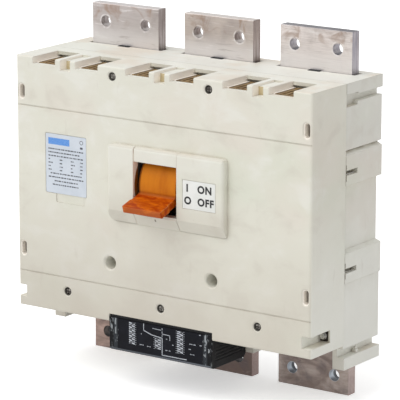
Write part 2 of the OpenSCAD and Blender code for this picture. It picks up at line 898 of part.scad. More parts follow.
// Side profile of the trip unit case (y, z): flat front with a sloping lip at its foot
module trip_profile() {
    polygon([
        [trip_back_y, trip_foot_z + trip_lip],
        [trip_back_y, trip_top_z],
        [front_y + trip_face_t, trip_top_z],
        [front_y + trip_face_t, trip_foot_z + trip_lip],
        [front_y, trip_foot_z + trip_lip],
        [front_y, trip_foot_z + trip_lip / 2],
        [front_y + trip_lip, trip_foot_z],
        [trip_back_y - trip_lip, trip_foot_z]
    ]);
}

module trip_unit_case() {
    rib_count = floor((trip_h - 3 * trip_lip) / rib_pitch);
    color("#17181d")
        difference() {
            side_extrude(-trip_w / 2, trip_w / 2)
                trip_profile();
            for (k = [0 : rib_count - 1])
                both_sides()
                    translate([trip_w / 2 - rib_deep, front_y + rib_in,
                               trip_top_z - trip_lip - (k + 1) * rib_pitch])
                        cube([rib_deep + over, trip_back_y - front_y - 2 * rib_in, rib_pitch / 2]);
        }
}

module trip_unit_face_plate() {
    color("#1d2230")
        difference() {
            span([-face_w / 2, front_y, trip_foot_z + trip_lip],
                 [face_w / 2, front_y + trip_face_t, face_top_z]);
            bank_block(bank_left_x, bank_h, over);
            bank_block(-bank_short_x, short_bank_h, over);
            bank_block(bank_right_x, bank_h, over);
        }
}

// Block of a selector switch bank, let into the face plate and standing forward by proud
module bank_block(x, h, proud) {
    span([x - bank_w / 2, front_y - proud, bank_foot_z],
         [x + bank_w / 2, front_y + bank_t, bank_foot_z + h]);
}

// Column of small switches, set in turn to the left and to the right
module selector_bank(x, h) {
    steps = floor(h / bank_step);
    pitch = h / steps;
    notch = 0.4 * bank_w;
    color("whitesmoke")
        difference() {
            bank_block(x, h, 0);
            for (k = [0 : steps - 1])
                translate([x - (k % 2 == 0 ? notch : 0), front_y - over, bank_foot_z + (k + 0.25) * pitch])
                    cube([notch, bank_step_deep + over, pitch / 2]);
        }
}

module selector_bank_left() { selector_bank(bank_left_x, bank_h); }
module selector_bank_centre() { selector_bank(-bank_short_x, short_bank_h); }
module selector_bank_right() { selector_bank(bank_right_x, bank_h); }

// Clear clip beside the face plate
module trip_unit_clip(side) {
    color("#8d9296")
        translate([side * (face_w + trip_clip_w) / 2, 0, 0])
            span([-trip_clip_w / 2, front_y, trip_foot_z + trip_lip],
                 [trip_clip_w / 2, front_y + trip_face_t, face_top_z]);
}

module trip_unit_clip_left() { trip_unit_clip(-1); }
module trip_unit_clip_right() { trip_unit_clip(1); }

// Flat spring clip lying on the floor of its slot, with a front end bent upwards
module cover_clip(side, boss_middle) {
    low = [half_w - clip_deep, joint_y + clip_t, boss_middle - clip_drop - clip_h / 2];
    out_x = half_w - clip_set;
    color("gray")
        mirror([side < 0 ? 1 : 0, 0, 0]) {
            span(low, [out_x, joint_y + clip_l - clip_end, low.z + clip_t]);
            span(low, [out_x, low.y + clip_t, low.z + clip_h - clip_t / 2]);
        }
}

module cover_clip_left_upper() { cover_clip(-1, boss_z[0]); }
module cover_clip_left_lower() { cover_clip(-1, boss_z[1]); }
module cover_clip_right_upper() { cover_clip(1, boss_z[0]); }
module cover_clip_right_lower() { cover_clip(1, boss_z[1]); }

base_housing();
front_cover();
escutcheon_plate();
escutcheon_left_block();
escutcheon_right_block();
operating_handle();
handle_shaft();
upper_terminal_left();
upper_terminal_centre();
upper_terminal_right();
lower_terminal_left();
lower_terminal_centre();
lower_terminal_right();
arc_chute_left();
arc_chute_centre();
arc_chute_right();
splitter_plates_left();
splitter_plates_centre();
splitter_plates_right();
trip_unit_case();
trip_unit_face_plate();
trip_unit_clip_left();
trip_unit_clip_right();
selector_bank_left();
selector_bank_centre();
selector_bank_right();
cover_clip_left_upper();
cover_clip_left_lower();
cover_clip_right_upper();
cover_clip_right_lower();
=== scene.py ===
"""Looks of a three-pole circuit breaker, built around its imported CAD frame.

Metres, +Z up, front towards -Y. The origin is the centre of the rear mounting face.
"""
import json
import math
import random

import bpy
from mathutils import Matrix, Vector


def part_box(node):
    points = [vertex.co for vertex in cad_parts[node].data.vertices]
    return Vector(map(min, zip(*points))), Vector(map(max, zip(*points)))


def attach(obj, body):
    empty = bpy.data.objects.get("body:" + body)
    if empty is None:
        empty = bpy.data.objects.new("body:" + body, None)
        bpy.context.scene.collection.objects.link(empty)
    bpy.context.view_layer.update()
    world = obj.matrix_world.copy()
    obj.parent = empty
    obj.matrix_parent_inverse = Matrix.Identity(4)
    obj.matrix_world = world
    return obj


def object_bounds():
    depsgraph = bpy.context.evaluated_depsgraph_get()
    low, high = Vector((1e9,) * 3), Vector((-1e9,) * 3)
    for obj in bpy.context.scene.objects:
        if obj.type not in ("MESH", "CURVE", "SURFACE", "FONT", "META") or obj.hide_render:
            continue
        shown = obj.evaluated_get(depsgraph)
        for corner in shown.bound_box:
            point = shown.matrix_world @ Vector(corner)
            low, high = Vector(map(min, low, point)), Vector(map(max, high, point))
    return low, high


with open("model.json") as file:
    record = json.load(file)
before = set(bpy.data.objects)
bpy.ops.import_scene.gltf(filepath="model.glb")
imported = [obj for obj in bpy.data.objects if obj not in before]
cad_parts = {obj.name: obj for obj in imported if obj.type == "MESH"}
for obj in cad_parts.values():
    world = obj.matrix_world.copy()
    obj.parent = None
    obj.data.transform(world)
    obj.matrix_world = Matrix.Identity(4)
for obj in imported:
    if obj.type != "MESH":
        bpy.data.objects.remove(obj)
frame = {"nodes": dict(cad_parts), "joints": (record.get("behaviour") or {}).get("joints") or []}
CAD_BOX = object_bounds()
NODES = frame["nodes"]
MM = 0.001
POLES = ("left", "centre", "right")
PIVOT = Vector(frame["joints"][0]["pos_m"])
COVER_LOW, COVER_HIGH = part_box("front_cover")

# Camera, fitted to the corners of the housing and the bars in the 400 x 400 photograph
PICTURE = 400
CAMERA_PLACE = Vector((1.9682, -2.8632, 0.7913))
CAMERA_AZIMUTH = math.radians(35.141)
CAMERA_ELEVATION = math.radians(13.216)
FOCAL_PIXELS = 2919.4
SENSOR = 36.0

# Light: an even sky and a soft sun, given as azimuth, elevation, strength and angle, over a pale floor
SKY_STRENGTH = 0.60
KEY_SUN = (-28, 55, 1.46, 65)
WHITE = (1, 1, 1, 1)
FLOOR_GREY = (0.86, 0.86, 0.86, 1)
FLOOR_SIZE = 30.0
FLOOR_GLOW = 0.5

# Sizes and places on the cover, the base and the bars, as in the part's source
EDGE_R = 4 * MM
SCREW_TOP = 11.6 * MM
SCREW_FOOT = 27 * MM
SCREW_RECESS = 7 * MM
PLATE_LEFT = 44 * MM
PLATE_TOP = 65.5 * MM
PLATE_SIZE = (62 * MM, 74 * MM)
PLATE_RECESS = 0.8 * MM
UPPER_LINE = 95.6 * MM
LOWER_LINE = 111.4 * MM
LINE_W = 1.3 * MM
NOTCH_DEEP = 41 * MM
NOTCH_Z = 18.6 * MM
BOLT_INSET = 8 * MM
VENT_HALF = 15 * MM
VENT_W = 34 * MM
FLANGE_H = 14.5 * MM
BAR_NOTCH = (17 * MM, 6 * MM)
HOLE_R = 7 * MM
HOLE_ASIDE = 30 * MM
HOLE_EDGE = 22 * MM

# Sizes and places on the escutcheon, the handle and the trip unit, as in the part's source
LABEL_SIZE = (47.5 * MM, 35 * MM)
LABEL_LEFT = 40 * MM
LABEL_MIDDLE = 19 * MM
LABEL_RECESS = 0.5 * MM
OPENING_TOP = 48.5 * MM
BAR_SET = 1 * MM
JOINT_W = 0.6 * MM
DRUM_HALF = 26.5 * MM
LEVER_HALF = 4.3 * MM
LEVER_SLOPE = math.radians(17)
BANK_STEP = 2.7 * MM
LIP_H = 4 * MM

# Height of print above and below the surface that it lies on
PRINT_T = 0.06 * MM


def srgb(red, green, blue):
    """Linear colour of an sRGB colour given in 0 to 255."""
    def linear(value):
        share = value / 255
        return share / 12.92 if share <= 0.04045 else ((share + 0.055) / 1.055) ** 2.4
    return (linear(red), linear(green), linear(blue), 1.0)


# Roughness of all noise, and sockets of the node that mixes colours
NOISE_ROUGHNESS = 0.55
MIX_FIRST = 6
MIX_SECOND = 7
MIX_RESULT = 2


class Look:
    """A procedural material under construction."""

    def __init__(self, name, colour, roughness=0.5, metallic=0.0):
        self.material = bpy.data.materials.new(name)
        self.material.use_nodes = True
        self.tree = self.material.node_tree
        self.shader = self.tree.nodes["Principled BSDF"]
        self.coords = self.add("ShaderNodeTexCoord").outputs
        self.place = self.coords["Object"]
        self.x, self.y, self.z = self.split(self.place)
        self.colour = colour
        self.set("Base Color", colour)
        self.set("Roughness", roughness)
        self.set("Metallic", metallic)

    def add(self, kind, inputs=None, **settings):
        """New node with settings, and with inputs by name or number."""
        node = self.tree.nodes.new(kind)
        for key, value in settings.items():
            setattr(node, key, value)
        for key, value in (inputs or {}).items():
            self.put(node.inputs[key], value)
        return node

    def put(self, socket, value):
        """Links an output to a socket, or sets the socket's value."""
        if isinstance(value, bpy.types.NodeSocket):
            self.tree.links.new(value, socket)
        else:
            socket.default_value = value

    def set(self, name, value):
        self.put(self.shader.inputs[name], value)

    def vector(self, operation, first, second, output="Vector"):
        return self.add("ShaderNodeVectorMath", {0: first, 1: second}, operation=operation).outputs[output]

    def math(self, operation, first, second=0.0):
        return self.add("ShaderNodeMath", {0: first, 1: second}, operation=operation).outputs[0]

    def split(self, vector):
        return self.add("ShaderNodeSeparateXYZ", {0: vector}).outputs

    def facing(self, axis):
        """How far the surface faces along an axis, from -1 to 1."""
        return self.split(self.coords["Normal"])[axis]

    def distance(self, point, weights):
        """Distance from a point, with a weight for each axis."""
        arm = self.vector("MULTIPLY", self.vector("SUBTRACT", self.place, point), weights)
        return self.add("ShaderNodeVectorMath", {0: arm}, operation="LENGTH").outputs["Value"]

    def combine(self, operation, masks):
        """One mask of several, taken in turn."""
        whole = masks[0]
        for mask in masks[1:]:
            whole = self.math(operation, whole, mask)
        return whole

    def product(self, *masks):
        return self.combine("MULTIPLY", masks)

    def noise(self, scale, detail, stretch=None, distortion=0.0):
        """Noise with features of about 1/scale metres, finer along axes with a larger stretch."""
        place = self.place if stretch is None else self.vector("MULTIPLY", self.place, stretch)
        inputs = {"Vector": place, "Scale": scale, "Detail": detail, "Roughness": NOISE_ROUGHNESS,
                  "Distortion": distortion}
        return self.add("ShaderNodeTexNoise", inputs).outputs["Fac"]

    def spread(self, value, low, high, to_low=0.0, to_high=1.0):
        """Maps low..high smoothly to to_low..to_high."""
        inputs = {"Value": value, "From Min": low, "From Max": high, "To Min": to_low, "To Max": to_high}
        return self.add("ShaderNodeMapRange", inputs, interpolation_type="SMOOTHSTEP").outputs["Result"]

    def above(self, value, limit, soft, share=1.0):
        """Mask that rises from 0 to a share where a value passes a limit."""
        return self.spread(value, limit - soft, limit + soft, 0, share)

    def below(self, value, limit, soft, share=1.0):
        """Mask that falls from a share to 0 where a value passes a limit."""
        return self.spread(value, limit + soft, limit - soft, 0, share)

    def near(self, value, middle, reach, soft, share=1.0):
        """Mask of the places where a value lies within reach of a middle."""
        aside = self.math("ABSOLUTE", self.math("SUBTRACT", value, middle))
        return self.below(aside, reach, soft, share)

    def sideways(self, share=1.0):
        """Mask of the surfaces that face left or right."""
        return self.spread(self.math("ABSOLUTE", self.facing("X")), 0.6, 0.9, 0, share)

    def mix(self, share, first, second):
        inputs = {"Factor": share, MIX_FIRST: first, MIX_SECOND: second}
        return self.add("ShaderNodeMix", inputs, data_type="RGBA").outputs[MIX_RESULT]

    def paint(self, share, colour):
        """Lays a colour over what is painted so far, by a share or a mask."""
        self.colour = self.mix(share, self.colour, colour)
        self.set("Base Color", self.colour)

    def soft_edges(self, radius):
        """Normal that rounds sharp edges."""
        return self.add("ShaderNodeBevel", {"Radius": radius}, samples=6).outputs["Normal"]

    def edges(self, radius):
        """Mask of the edges: 1 on an edge, 0 on flat stretches."""
        flat = self.add("ShaderNodeNewGeometry").outputs["Normal"]
        straight = self.vector("DOT_PRODUCT", self.soft_edges(radius), flat, "Value")
        return self.spread(straight, 0.995, 0.86)

    def crevices(self, distance):
        """Mask of corners and recesses: 1 where a surface is closely surrounded."""
        node = self.add("ShaderNodeAmbientOcclusion", {"Distance": distance}, samples=6)
        return self.spread(node.outputs["AO"], 0.85, 0.35)

    def bump(self, height, strength, distance, normal=None):
        inputs = {"Height": height, "Strength": strength, "Distance": distance}
        if normal is not None:
            inputs["Normal"] = normal
        return self.add("ShaderNodeBump", inputs).outputs["Normal"]

    def rough(self, pattern, low, high):
        """Roughness that follows a pattern."""
        self.set("Roughness", self.spread(pattern, 0.3, 0.7, low, high))

    def relief(self, pattern, strength, distance, edge):
        """Bumps of a pattern over rounded edges."""
        self.set("Normal", self.bump(pattern, strength, distance, self.soft_edges(edge)))


# Materials

IVORY = srgb(229, 227, 214)
IVORY_COOL = srgb(227, 226, 218)
IVORY_PINK = srgb(229, 220, 208)
IVORY_GREEN = srgb(221, 225, 208)
# IVORY_BRIGHT serves both for paler blotches and for painted light on upward faces, the sides and the
# escutcheon
IVORY_BRIGHT = srgb(238, 237, 229)
IVORY_TAN = srgb(224, 209, 190)
# IVORY_DIRT_AND_SHADE serves both for dirt and scuffs and for painted shade on the sides and the escutcheon
IVORY_DIRT_AND_SHADE = srgb(199, 191, 178)
# GRIME_AND_SHADE serves both for specks of dirt and for painted shade in corners and recesses
GRIME_AND_SHADE = srgb(142, 122, 94)
CAVITY_SHADE = srgb(52, 38, 32)
CHANNEL_TAN = srgb(200, 176, 120)
SLOT_SHADE = srgb(86, 76, 60)
RECESS_SHADE = srgb(58, 54, 48)
POCKET_PALE = srgb(255, 248, 238)
REVEAL_LIT = srgb(250, 238, 224)
REVEAL_AMBER_REFLECTION = srgb(142, 82, 28)
MARK_DARK = srgb(96, 84, 62)

# Heights between which the dirt on the front grows
DIRT_TOP = 0.03
DIRT_FOOT = -0.17

# Limits of painted places: distances from the handle's axis and half widths round the handle
CAVITY_R = 52 * MM
CAVITY_HALF = 34.25 * MM
REVEAL_R = 44.1 * MM
REVEAL_HALF = 35 * MM
LEVER_FROM = 44.25 * MM
LIT_EDGES_FROM = 49.5 * MM

# Limits of painted places on the cover: insets from its ends and sides, depths below its front and top
CHANNEL_NEAR = 9.5 * MM
CHANNEL_FAR = 20 * MM
CHANNEL_DEEP = 13.5 * MM
TAN_ASIDE = 4.5 * MM
TAN_HALF = 3.25 * MM
POCKET_DEEP = 14 * MM
POCKET_INSET = 5 * MM
SLOT_INSET = (3.5 * MM, 12.25 * MM)
SLOT_FOOT = 44 * MM
SLOT_TOP = 20 * MM
SLOT_RIM = 0.9 * MM
SLOT_DEEP = 8.5 * MM
RECESS_R = 5.25 * MM
RECESS_RIM = 1 * MM

# Tones of the escutcheon: heights above which light and below which shade is painted, and the small mark
# below the lever
LIT_ABOVE_Z = 37.5 * MM
SHADED_BELOW_Z = 4 * MM
MARK_PLACE = Vector((-1, -157, -19.7)) * MM
MARK_R = 1.05 * MM


def middle_x(node):
    """Middle of a node from left to right."""
    low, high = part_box(node)
    return (low.x + high.x) / 2


def ivory_dirt(look):
    """Mask of the dirt on the front, which grows towards the foot and a little towards the left."""
    front = look.spread(look.facing("Y"), -0.4, -0.9)
    foot = look.spread(look.z, DIRT_TOP, DIRT_FOOT, 0, 0.95)
    leftward = look.spread(look.x, 0.12, -0.2, 0.78, 1.12)
    uneven = look.spread(look.noise(9, 3), 0.3, 0.7, 0.6, 1)
    return look.product(front, foot, leftward, uneven)


def paint_tints(look):
    """Faint pink, green, paler and darker blotches."""
    look.paint(look.spread(look.noise(7, 2), 0.5, 0.7, 0, 0.6), IVORY_PINK)
    look.paint(look.spread(look.noise(5, 2, stretch=(1, 1, 1.7)), 0.5, 0.68, 0, 0.6), IVORY_GREEN)
    blotches = look.noise(30, 4, stretch=(0.7, 1, 1), distortion=0.4)
    look.paint(look.spread(blotches, 0.5, 0.72, 0, 0.55), IVORY_BRIGHT)
    look.paint(look.spread(blotches, 0.48, 0.28, 0, 0.28), IVORY_DIRT_AND_SHADE)


def paint_ivory(look):
    """Aged ivory: tints, tan patches on top, dirt, scuffs, specks; painted light on upward faces and low on
    the sides, painted shade high on the sides and in corners.
    """
    paint_tints(look)
    top = look.spread(look.facing("Z"), 0.6, 0.9)
    # Painted light: upward faces are painted paler
    look.paint(look.product(top, 0.6), IVORY_BRIGHT)
    patches = look.spread(look.noise(16, 3), 0.46, 0.66, 0, 0.5)
    look.paint(look.product(top, patches), IVORY_TAN)
    # Painted light and shade on the sides: paler towards the foot, a little darker higher up
    side = look.sideways()
    side_light = look.spread(look.z, 0.1, -0.16, 0, 0.75)
    look.paint(look.product(side, side_light), IVORY_BRIGHT)
    side_shade = look.spread(look.z, -0.12, 0.06, 0, 0.18)
    look.paint(look.product(side, side_shade), IVORY_DIRT_AND_SHADE)
    look.paint(ivory_dirt(look), IVORY_DIRT_AND_SHADE)
    scuffs = look.spread(look.noise(60, 4, stretch=(1, 1, 0.35)), 0.62, 0.78, 0, 0.35)
    look.paint(scuffs, IVORY_DIRT_AND_SHADE)
    specks = look.spread(look.noise(420, 2), 0.76, 0.80, 0, 0.4)
    look.paint(specks, GRIME_AND_SHADE)
    # Painted shade: corners and recesses are darkened with the grime colour, unevenly
    uneven_corner_shade = look.spread(look.noise(45, 4), 0.3, 0.7, 0.05, 0.45)
    look.paint(look.product(look.crevices(4 * MM), uneven_corner_shade), GRIME_AND_SHADE)


def ivory_surface(look, grain):
    """Satin moulded surface with soft edges and a slight unevenness."""
    look.rough(look.noise(22, 4), 0.42, 0.58)
    look.set("Specular IOR Level", 0.3)
    surface = look.bump(look.noise(1300, 3), grain, 0.3 * MM, look.soft_edges(0.9 * MM))
    look.set("Normal", look.bump(look.noise(14, 2), 0.06, 3 * MM, surface))


def moulded_ivory(name, base):
    """Plain ivory moulding."""
    look = Look(name, base)
    paint_ivory(look)
    ivory_surface(look, 0.05)
    return look.material


def pivot_distance(look):
    """Distance from the axis on which the handle turns."""
    return look.distance(PIVOT, (0, 1, 1))


def handle_cavity(look):
    """Mask of the cavity in the cover behind the handle, where shade is painted."""
    round_drum = look.below(pivot_distance(look), CAVITY_R, 2 * MM)
    sunk = look.above(look.y, COVER_LOW.y - 0.1 * MM, 0.4 * MM)
    between = look.near(look.x, 0, CAVITY_HALF, 0.75 * MM, 0.95)
    return look.product(round_drum, sunk, between)


def channel_backs(look):
    """Mask of the left half of the back walls of the three channels between the vents."""
    facing = look.spread(look.facing("Y"), -0.6, -0.9)
    not_far = look.below(look.y, COVER_LOW.y + CHANNEL_FAR, 2 * MM)
    sunk = look.above(look.y, COVER_LOW.y + CHANNEL_NEAR, 1.5 * MM)
    upper = look.above(look.z, COVER_HIGH.z - CHANNEL_DEEP, 1.5 * MM, 0.7)
    middles = [middle_x("upper_terminal_" + pole) - TAN_ASIDE for pole in POLES]
    strips = [look.near(look.x, middle, TAN_HALF, 0.75 * MM) for middle in middles]
    return look.product(facing, sunk, not_far, upper, look.combine("ADD", strips))


def slot_places(look):
    """Mask of the four access slots near the sides, at any depth below their rims."""
    inset = look.math("SUBTRACT", COVER_HIGH.x, look.math("ABSOLUTE", look.x))
    off_edge = look.above(inset, SLOT_INSET[0], 0.5 * MM)
    off_middle = look.below(inset, SLOT_INSET[1], 0.25 * MM)
    above_notch = look.above(look.z, COVER_LOW.z + SLOT_FOOT, 2 * MM)
    below_top = look.below(look.z, COVER_HIGH.z - SLOT_TOP, 2 * MM)
    sunk = look.above(look.y, COVER_LOW.y + SLOT_RIM, 0.3 * MM)
    return look.product(off_middle, off_edge, above_notch, below_top, sunk)


def pocket_walls(look):
    """Mask of the side walls of the vents and of the channels between them, which get painted light."""
    inside = look.near(look.x, 0, COVER_HIGH.x - POCKET_INSET, 1 * MM)
    upper = look.above(look.z, COVER_HIGH.z - POCKET_DEEP, 1 * MM, 0.95)
    return look.product(look.sideways(), inside, upper)


def screw_places():
    """Centres (x, z) of the five screw recesses of the cover."""
    pitch = middle_x("upper_terminal_right")
    upper = [(x, COVER_HIGH.z - SCREW_TOP) for x in (-pitch / 2, pitch / 2)]
    return upper + [(x, COVER_LOW.z + SCREW_FOOT) for x in (-pitch, 0, pitch)]


def screw_recesses(look):
    """Mask of the walls of the five screw recesses, where shade is painted."""
    sunk = look.above(look.y, COVER_LOW.y + RECESS_RIM, 0.4 * MM, 0.85)
    arms = [look.distance(Vector((x, 0, z)), (1, 0, 1)) for x, z in screw_places()]
    rounds = [look.below(arm, RECESS_R, 0.15 * MM) for arm in arms]
    return look.product(sunk, look.combine("ADD", rounds))


def cover_ivory():
    """Ivory of the cover, with painted shade in the handle cavity, slots and recesses, painted light on the
    walls of the vents and slots, tan in the vent channels.
    """
    look = Look("ivory_cover", IVORY)
    paint_ivory(look)
    look.paint(channel_backs(look), CHANNEL_TAN)
    # Painted light: the walls in the vents and channels are painted pale
    look.paint(pocket_walls(look), POCKET_PALE)
    slots = slot_places(look)
    deep_shade = look.above(look.y, COVER_LOW.y + SLOT_DEEP, 1 * MM)
    # Painted light on the slot walls, then painted shade deeper in
    look.paint(look.product(slots, 0.9), POCKET_PALE)
    look.paint(look.product(slots, deep_shade, 0.45), SLOT_SHADE)
    # Painted shade in the screw recesses
    look.paint(screw_recesses(look), RECESS_SHADE)
    # Painted shade in the cavity behind the handle
    look.paint(handle_cavity(look), CAVITY_SHADE)
    ivory_surface(look, 0.05)
    return look.material


def paint_reveal(look):
    """Left wall of the handle opening painted paler as painted light, with a painted reflection of the
    drum's amber close to the drum.
    """
    facing = look.spread(look.facing("X"), 0.6, 0.9)
    wall = look.product(facing, look.near(look.x, 0, REVEAL_HALF, 1 * MM))
    look.paint(look.product(wall, 0.95), REVEAL_LIT)
    beside_drum = look.below(pivot_distance(look), REVEAL_R, 0.5 * MM)
    look.paint(look.product(wall, beside_drum), REVEAL_AMBER_REFLECTION)


def block_seam(look):
    """Mask of the faint line above the opening, along the left edge of the right block."""
    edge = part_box("escutcheon_right_block")[0].x
    upright_line = look.near(look.x, edge, 0.65 * MM, 0.25 * MM, 0.6)
    return look.product(upright_line, look.above(look.z, OPENING_TOP, 1 * MM))


def escutcheon_ivory():
    """Ivory of the escutcheon: painted light above, painted shade below and on upward faces, painted light
    and reflection in the opening, a faint seam, a small mark.
    """
    look = Look("ivory_escutcheon", IVORY)
    paint_ivory(look)
    # Painted light on the upper part, painted shade on the lower part
    look.paint(look.above(look.z, LIT_ABOVE_Z, 12.5 * MM, 0.35), IVORY_BRIGHT)
    look.paint(look.below(look.z, SHADED_BELOW_Z, 16 * MM, 0.32), IVORY_DIRT_AND_SHADE)
    # Painted shade on the upward faces, which dulls their highlight
    look.paint(look.spread(look.facing("Z"), 0.25, 0.6, 0, 0.45), IVORY_DIRT_AND_SHADE)
    look.paint(block_seam(look), IVORY_DIRT_AND_SHADE)
    paint_reveal(look)
    from_mark = look.distance(MARK_PLACE, (1, 0, 0.6))
    look.paint(look.below(from_mark, MARK_R, 0.25 * MM, 0.8), MARK_DARK)
    ivory_surface(look, 0.03)
    return look.material


AMBER = srgb(213, 128, 32)
AMBER_DEEP = srgb(196, 110, 26)
LEVER_RED = srgb(163, 57, 0)
LEVER_LIGHT = srgb(206, 100, 8)
LEVER_LIT_AND_WORN = srgb(200, 122, 70)
LEVER_SHADOW = srgb(146, 56, 10)
DRUM_EDGE_SHADE = srgb(92, 46, 14)


def lever_height(look):
    """Height above the middle plane of the lever, which slopes down at rest."""
    arm = look.vector("SUBTRACT", look.place, PIVOT)
    up = (0, -math.sin(LEVER_SLOPE), math.cos(LEVER_SLOPE))
    return look.vector("DOT_PRODUCT", arm, up, "Value")


def amber_handle():
    """Amber plastic, redder and streaked along the lever, with a painted shadow of the lever on the drum,
    painted shade at the drum's left edge, a painted highlight on the lever's front, and lighter edges that
    are rubbing and painted highlight.
    """
    look = Look("amber_handle", AMBER)
    streaks = look.spread(look.noise(60, 4, stretch=(1.4, 0.3, 0.3)), 0.4, 0.8)
    look.paint(streaks, AMBER_DEEP)
    # Painted shadow of the lever on the drum just above it
    lever_shadow = look.below(lever_height(look), LEVER_HALF + 3 * MM, 2 * MM, 0.65)
    look.paint(lever_shadow, LEVER_SHADOW)
    # Painted shade along the drum's left edge
    left_edge_shade = look.below(look.x, 2 * MM - DRUM_HALF, 1 * MM, 0.8)
    look.paint(left_edge_shade, DRUM_EDGE_SHADE)
    mottle = look.spread(look.noise(85, 4, stretch=(0.5, 1.2, 1), distortion=0.8), 0.42, 0.66)
    lever_colour = look.mix(mottle, LEVER_RED, LEVER_LIGHT)
    lever = look.above(pivot_distance(look), LEVER_FROM, 1.75 * MM)
    look.paint(lever, lever_colour)
    # Painted highlight on the lever's front faces
    tip = look.product(lever, look.spread(look.facing("Y"), -0.5, -0.9, 0, 0.4))
    look.paint(tip, LEVER_LIT_AND_WORN)
    # Lighter edges of the lever: rubbing, and painted highlight
    rubbed_and_lit = look.spread(look.noise(120, 4), 0.3, 0.6, 0.5, 1)
    on_lever = look.above(pivot_distance(look), LIT_EDGES_FROM, 1.5 * MM)
    look.paint(look.product(look.edges(2.2 * MM), rubbed_and_lit, on_lever), LEVER_LIT_AND_WORN)
    look.set("Roughness", look.spread(look.noise(160, 4), 0.3, 0.75, 0.36, 0.56))
    look.set("Specular IOR Level", 0.08)
    look.relief(look.noise(700, 3), 0.05, 0.2 * MM, 1.0 * MM)
    return look.material


def hole_distance(look, centre_x, hole_z):
    """Distance from the axis of the nearer one of a bar's two holes."""
    across = look.math("ABSOLUTE", look.math("SUBTRACT", look.x, centre_x))
    aside = look.math("SUBTRACT", across, HOLE_ASIDE)
    above = look.math("SUBTRACT", look.z, hole_z)
    square = look.math("ADD", look.product(aside, aside), look.product(above, above))
    return look.math("SQRT", square)


TIN_FACE = {"left": srgb(183, 175, 172), "centre": srgb(190, 179, 171), "right": srgb(220, 212, 208)}
TIN_END = {"left": srgb(122, 110, 106), "centre": srgb(122, 106, 100), "right": srgb(142, 138, 146)}
TIN_TOP_LIT_AND_SHADED = {"left": srgb(196, 190, 188), "centre": srgb(202, 196, 192), "right": srgb(88, 88, 96)}
TIN_DARK = srgb(160, 150, 146)
TIN_BROWN = srgb(150, 126, 110)
TIN_BRIGHT = srgb(226, 222, 221)


def upper_bar(node):
    """Brushed tinned bar: stained near its end, brighter near the housing with a painted reflection of it,
    dull sawn ends, painted light and shade on the top.
    """
    pole = node.rsplit("_", 1)[1]
    look = Look("tinned_" + node, TIN_FACE[pole], metallic=0.8)
    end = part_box(node)[1].z
    brushing = look.noise(900, 3, stretch=(0.05, 1, 1))
    clouds = look.noise(26, 4, distortion=0.5)
    look.paint(look.spread(clouds, 0.4, 0.75, 0, 0.6), TIN_DARK)
    look.paint(look.spread(brushing, 0.35, 0.7, 0, 0.3), TIN_DARK)
    # Painted reflection of the housing, which brightens the bar near it
    housing_reflection = look.below(look.z, end - 32 * MM, 14 * MM, 0.75)
    look.paint(housing_reflection, TIN_BRIGHT)
    scratches = look.noise(210, 4, stretch=(0.12, 1, 1), distortion=0.3)
    look.paint(look.spread(scratches, 0.56, 0.7, 0, 0.45), TIN_DARK)
    look.paint(look.spread(scratches, 0.42, 0.3, 0, 0.5), TIN_BRIGHT)
    near_end = look.above(look.z, end - 19 * MM, 15 * MM)
    stains = look.spread(look.noise(48, 4, distortion=1.0), 0.48, 0.7, 0, 0.8)
    look.paint(look.product(near_end, stains), TIN_BROWN)
    from_hole = hole_distance(look, middle_x(node), end - HOLE_EDGE)
    rings = look.below(from_hole, HOLE_R + 2 * MM, 0.6 * MM, 0.6)
    rings = look.product(rings, look.spread(look.noise(150, 2), 0.35, 0.6))
    look.paint(rings, TIN_BRIGHT)
    sawn = look.sideways()
    streaks = look.spread(look.noise(300, 3, stretch=(1, 1, 0.08)), 0.3, 0.7, 0.6, 1)
    look.paint(look.product(sawn, streaks), TIN_END[pole])
    # Painted light and shade on the tops, in a tone per bar
    look.paint(look.spread(look.facing("Z"), 0.5, 0.9, 0, 0.9), TIN_TOP_LIT_AND_SHADED[pole])
    look.rough(clouds, 0.38, 0.52)
    look.relief(brushing, 0.06, 0.15 * MM, 0.7 * MM)
    return look.material


# Tones per bar; the centre bar's darker tone is painted shade under the trip unit
COPPER_FACE = {"left": srgb(178, 153, 143), "centre": srgb(126, 108, 101), "right": srgb(180, 167, 160)}
HOLE_SHADE = srgb(40, 40, 44)
HOLE_WALL_LIGHTING = {"left": srgb(104, 96, 92), "centre": srgb(120, 114, 110), "right": srgb(206, 213, 222)}
COPPER_DARK = srgb(124, 108, 102)
COPPER_STAIN = srgb(112, 101, 102)
COPPER_RUB = srgb(190, 174, 168)
COPPER_END = srgb(170, 150, 146)


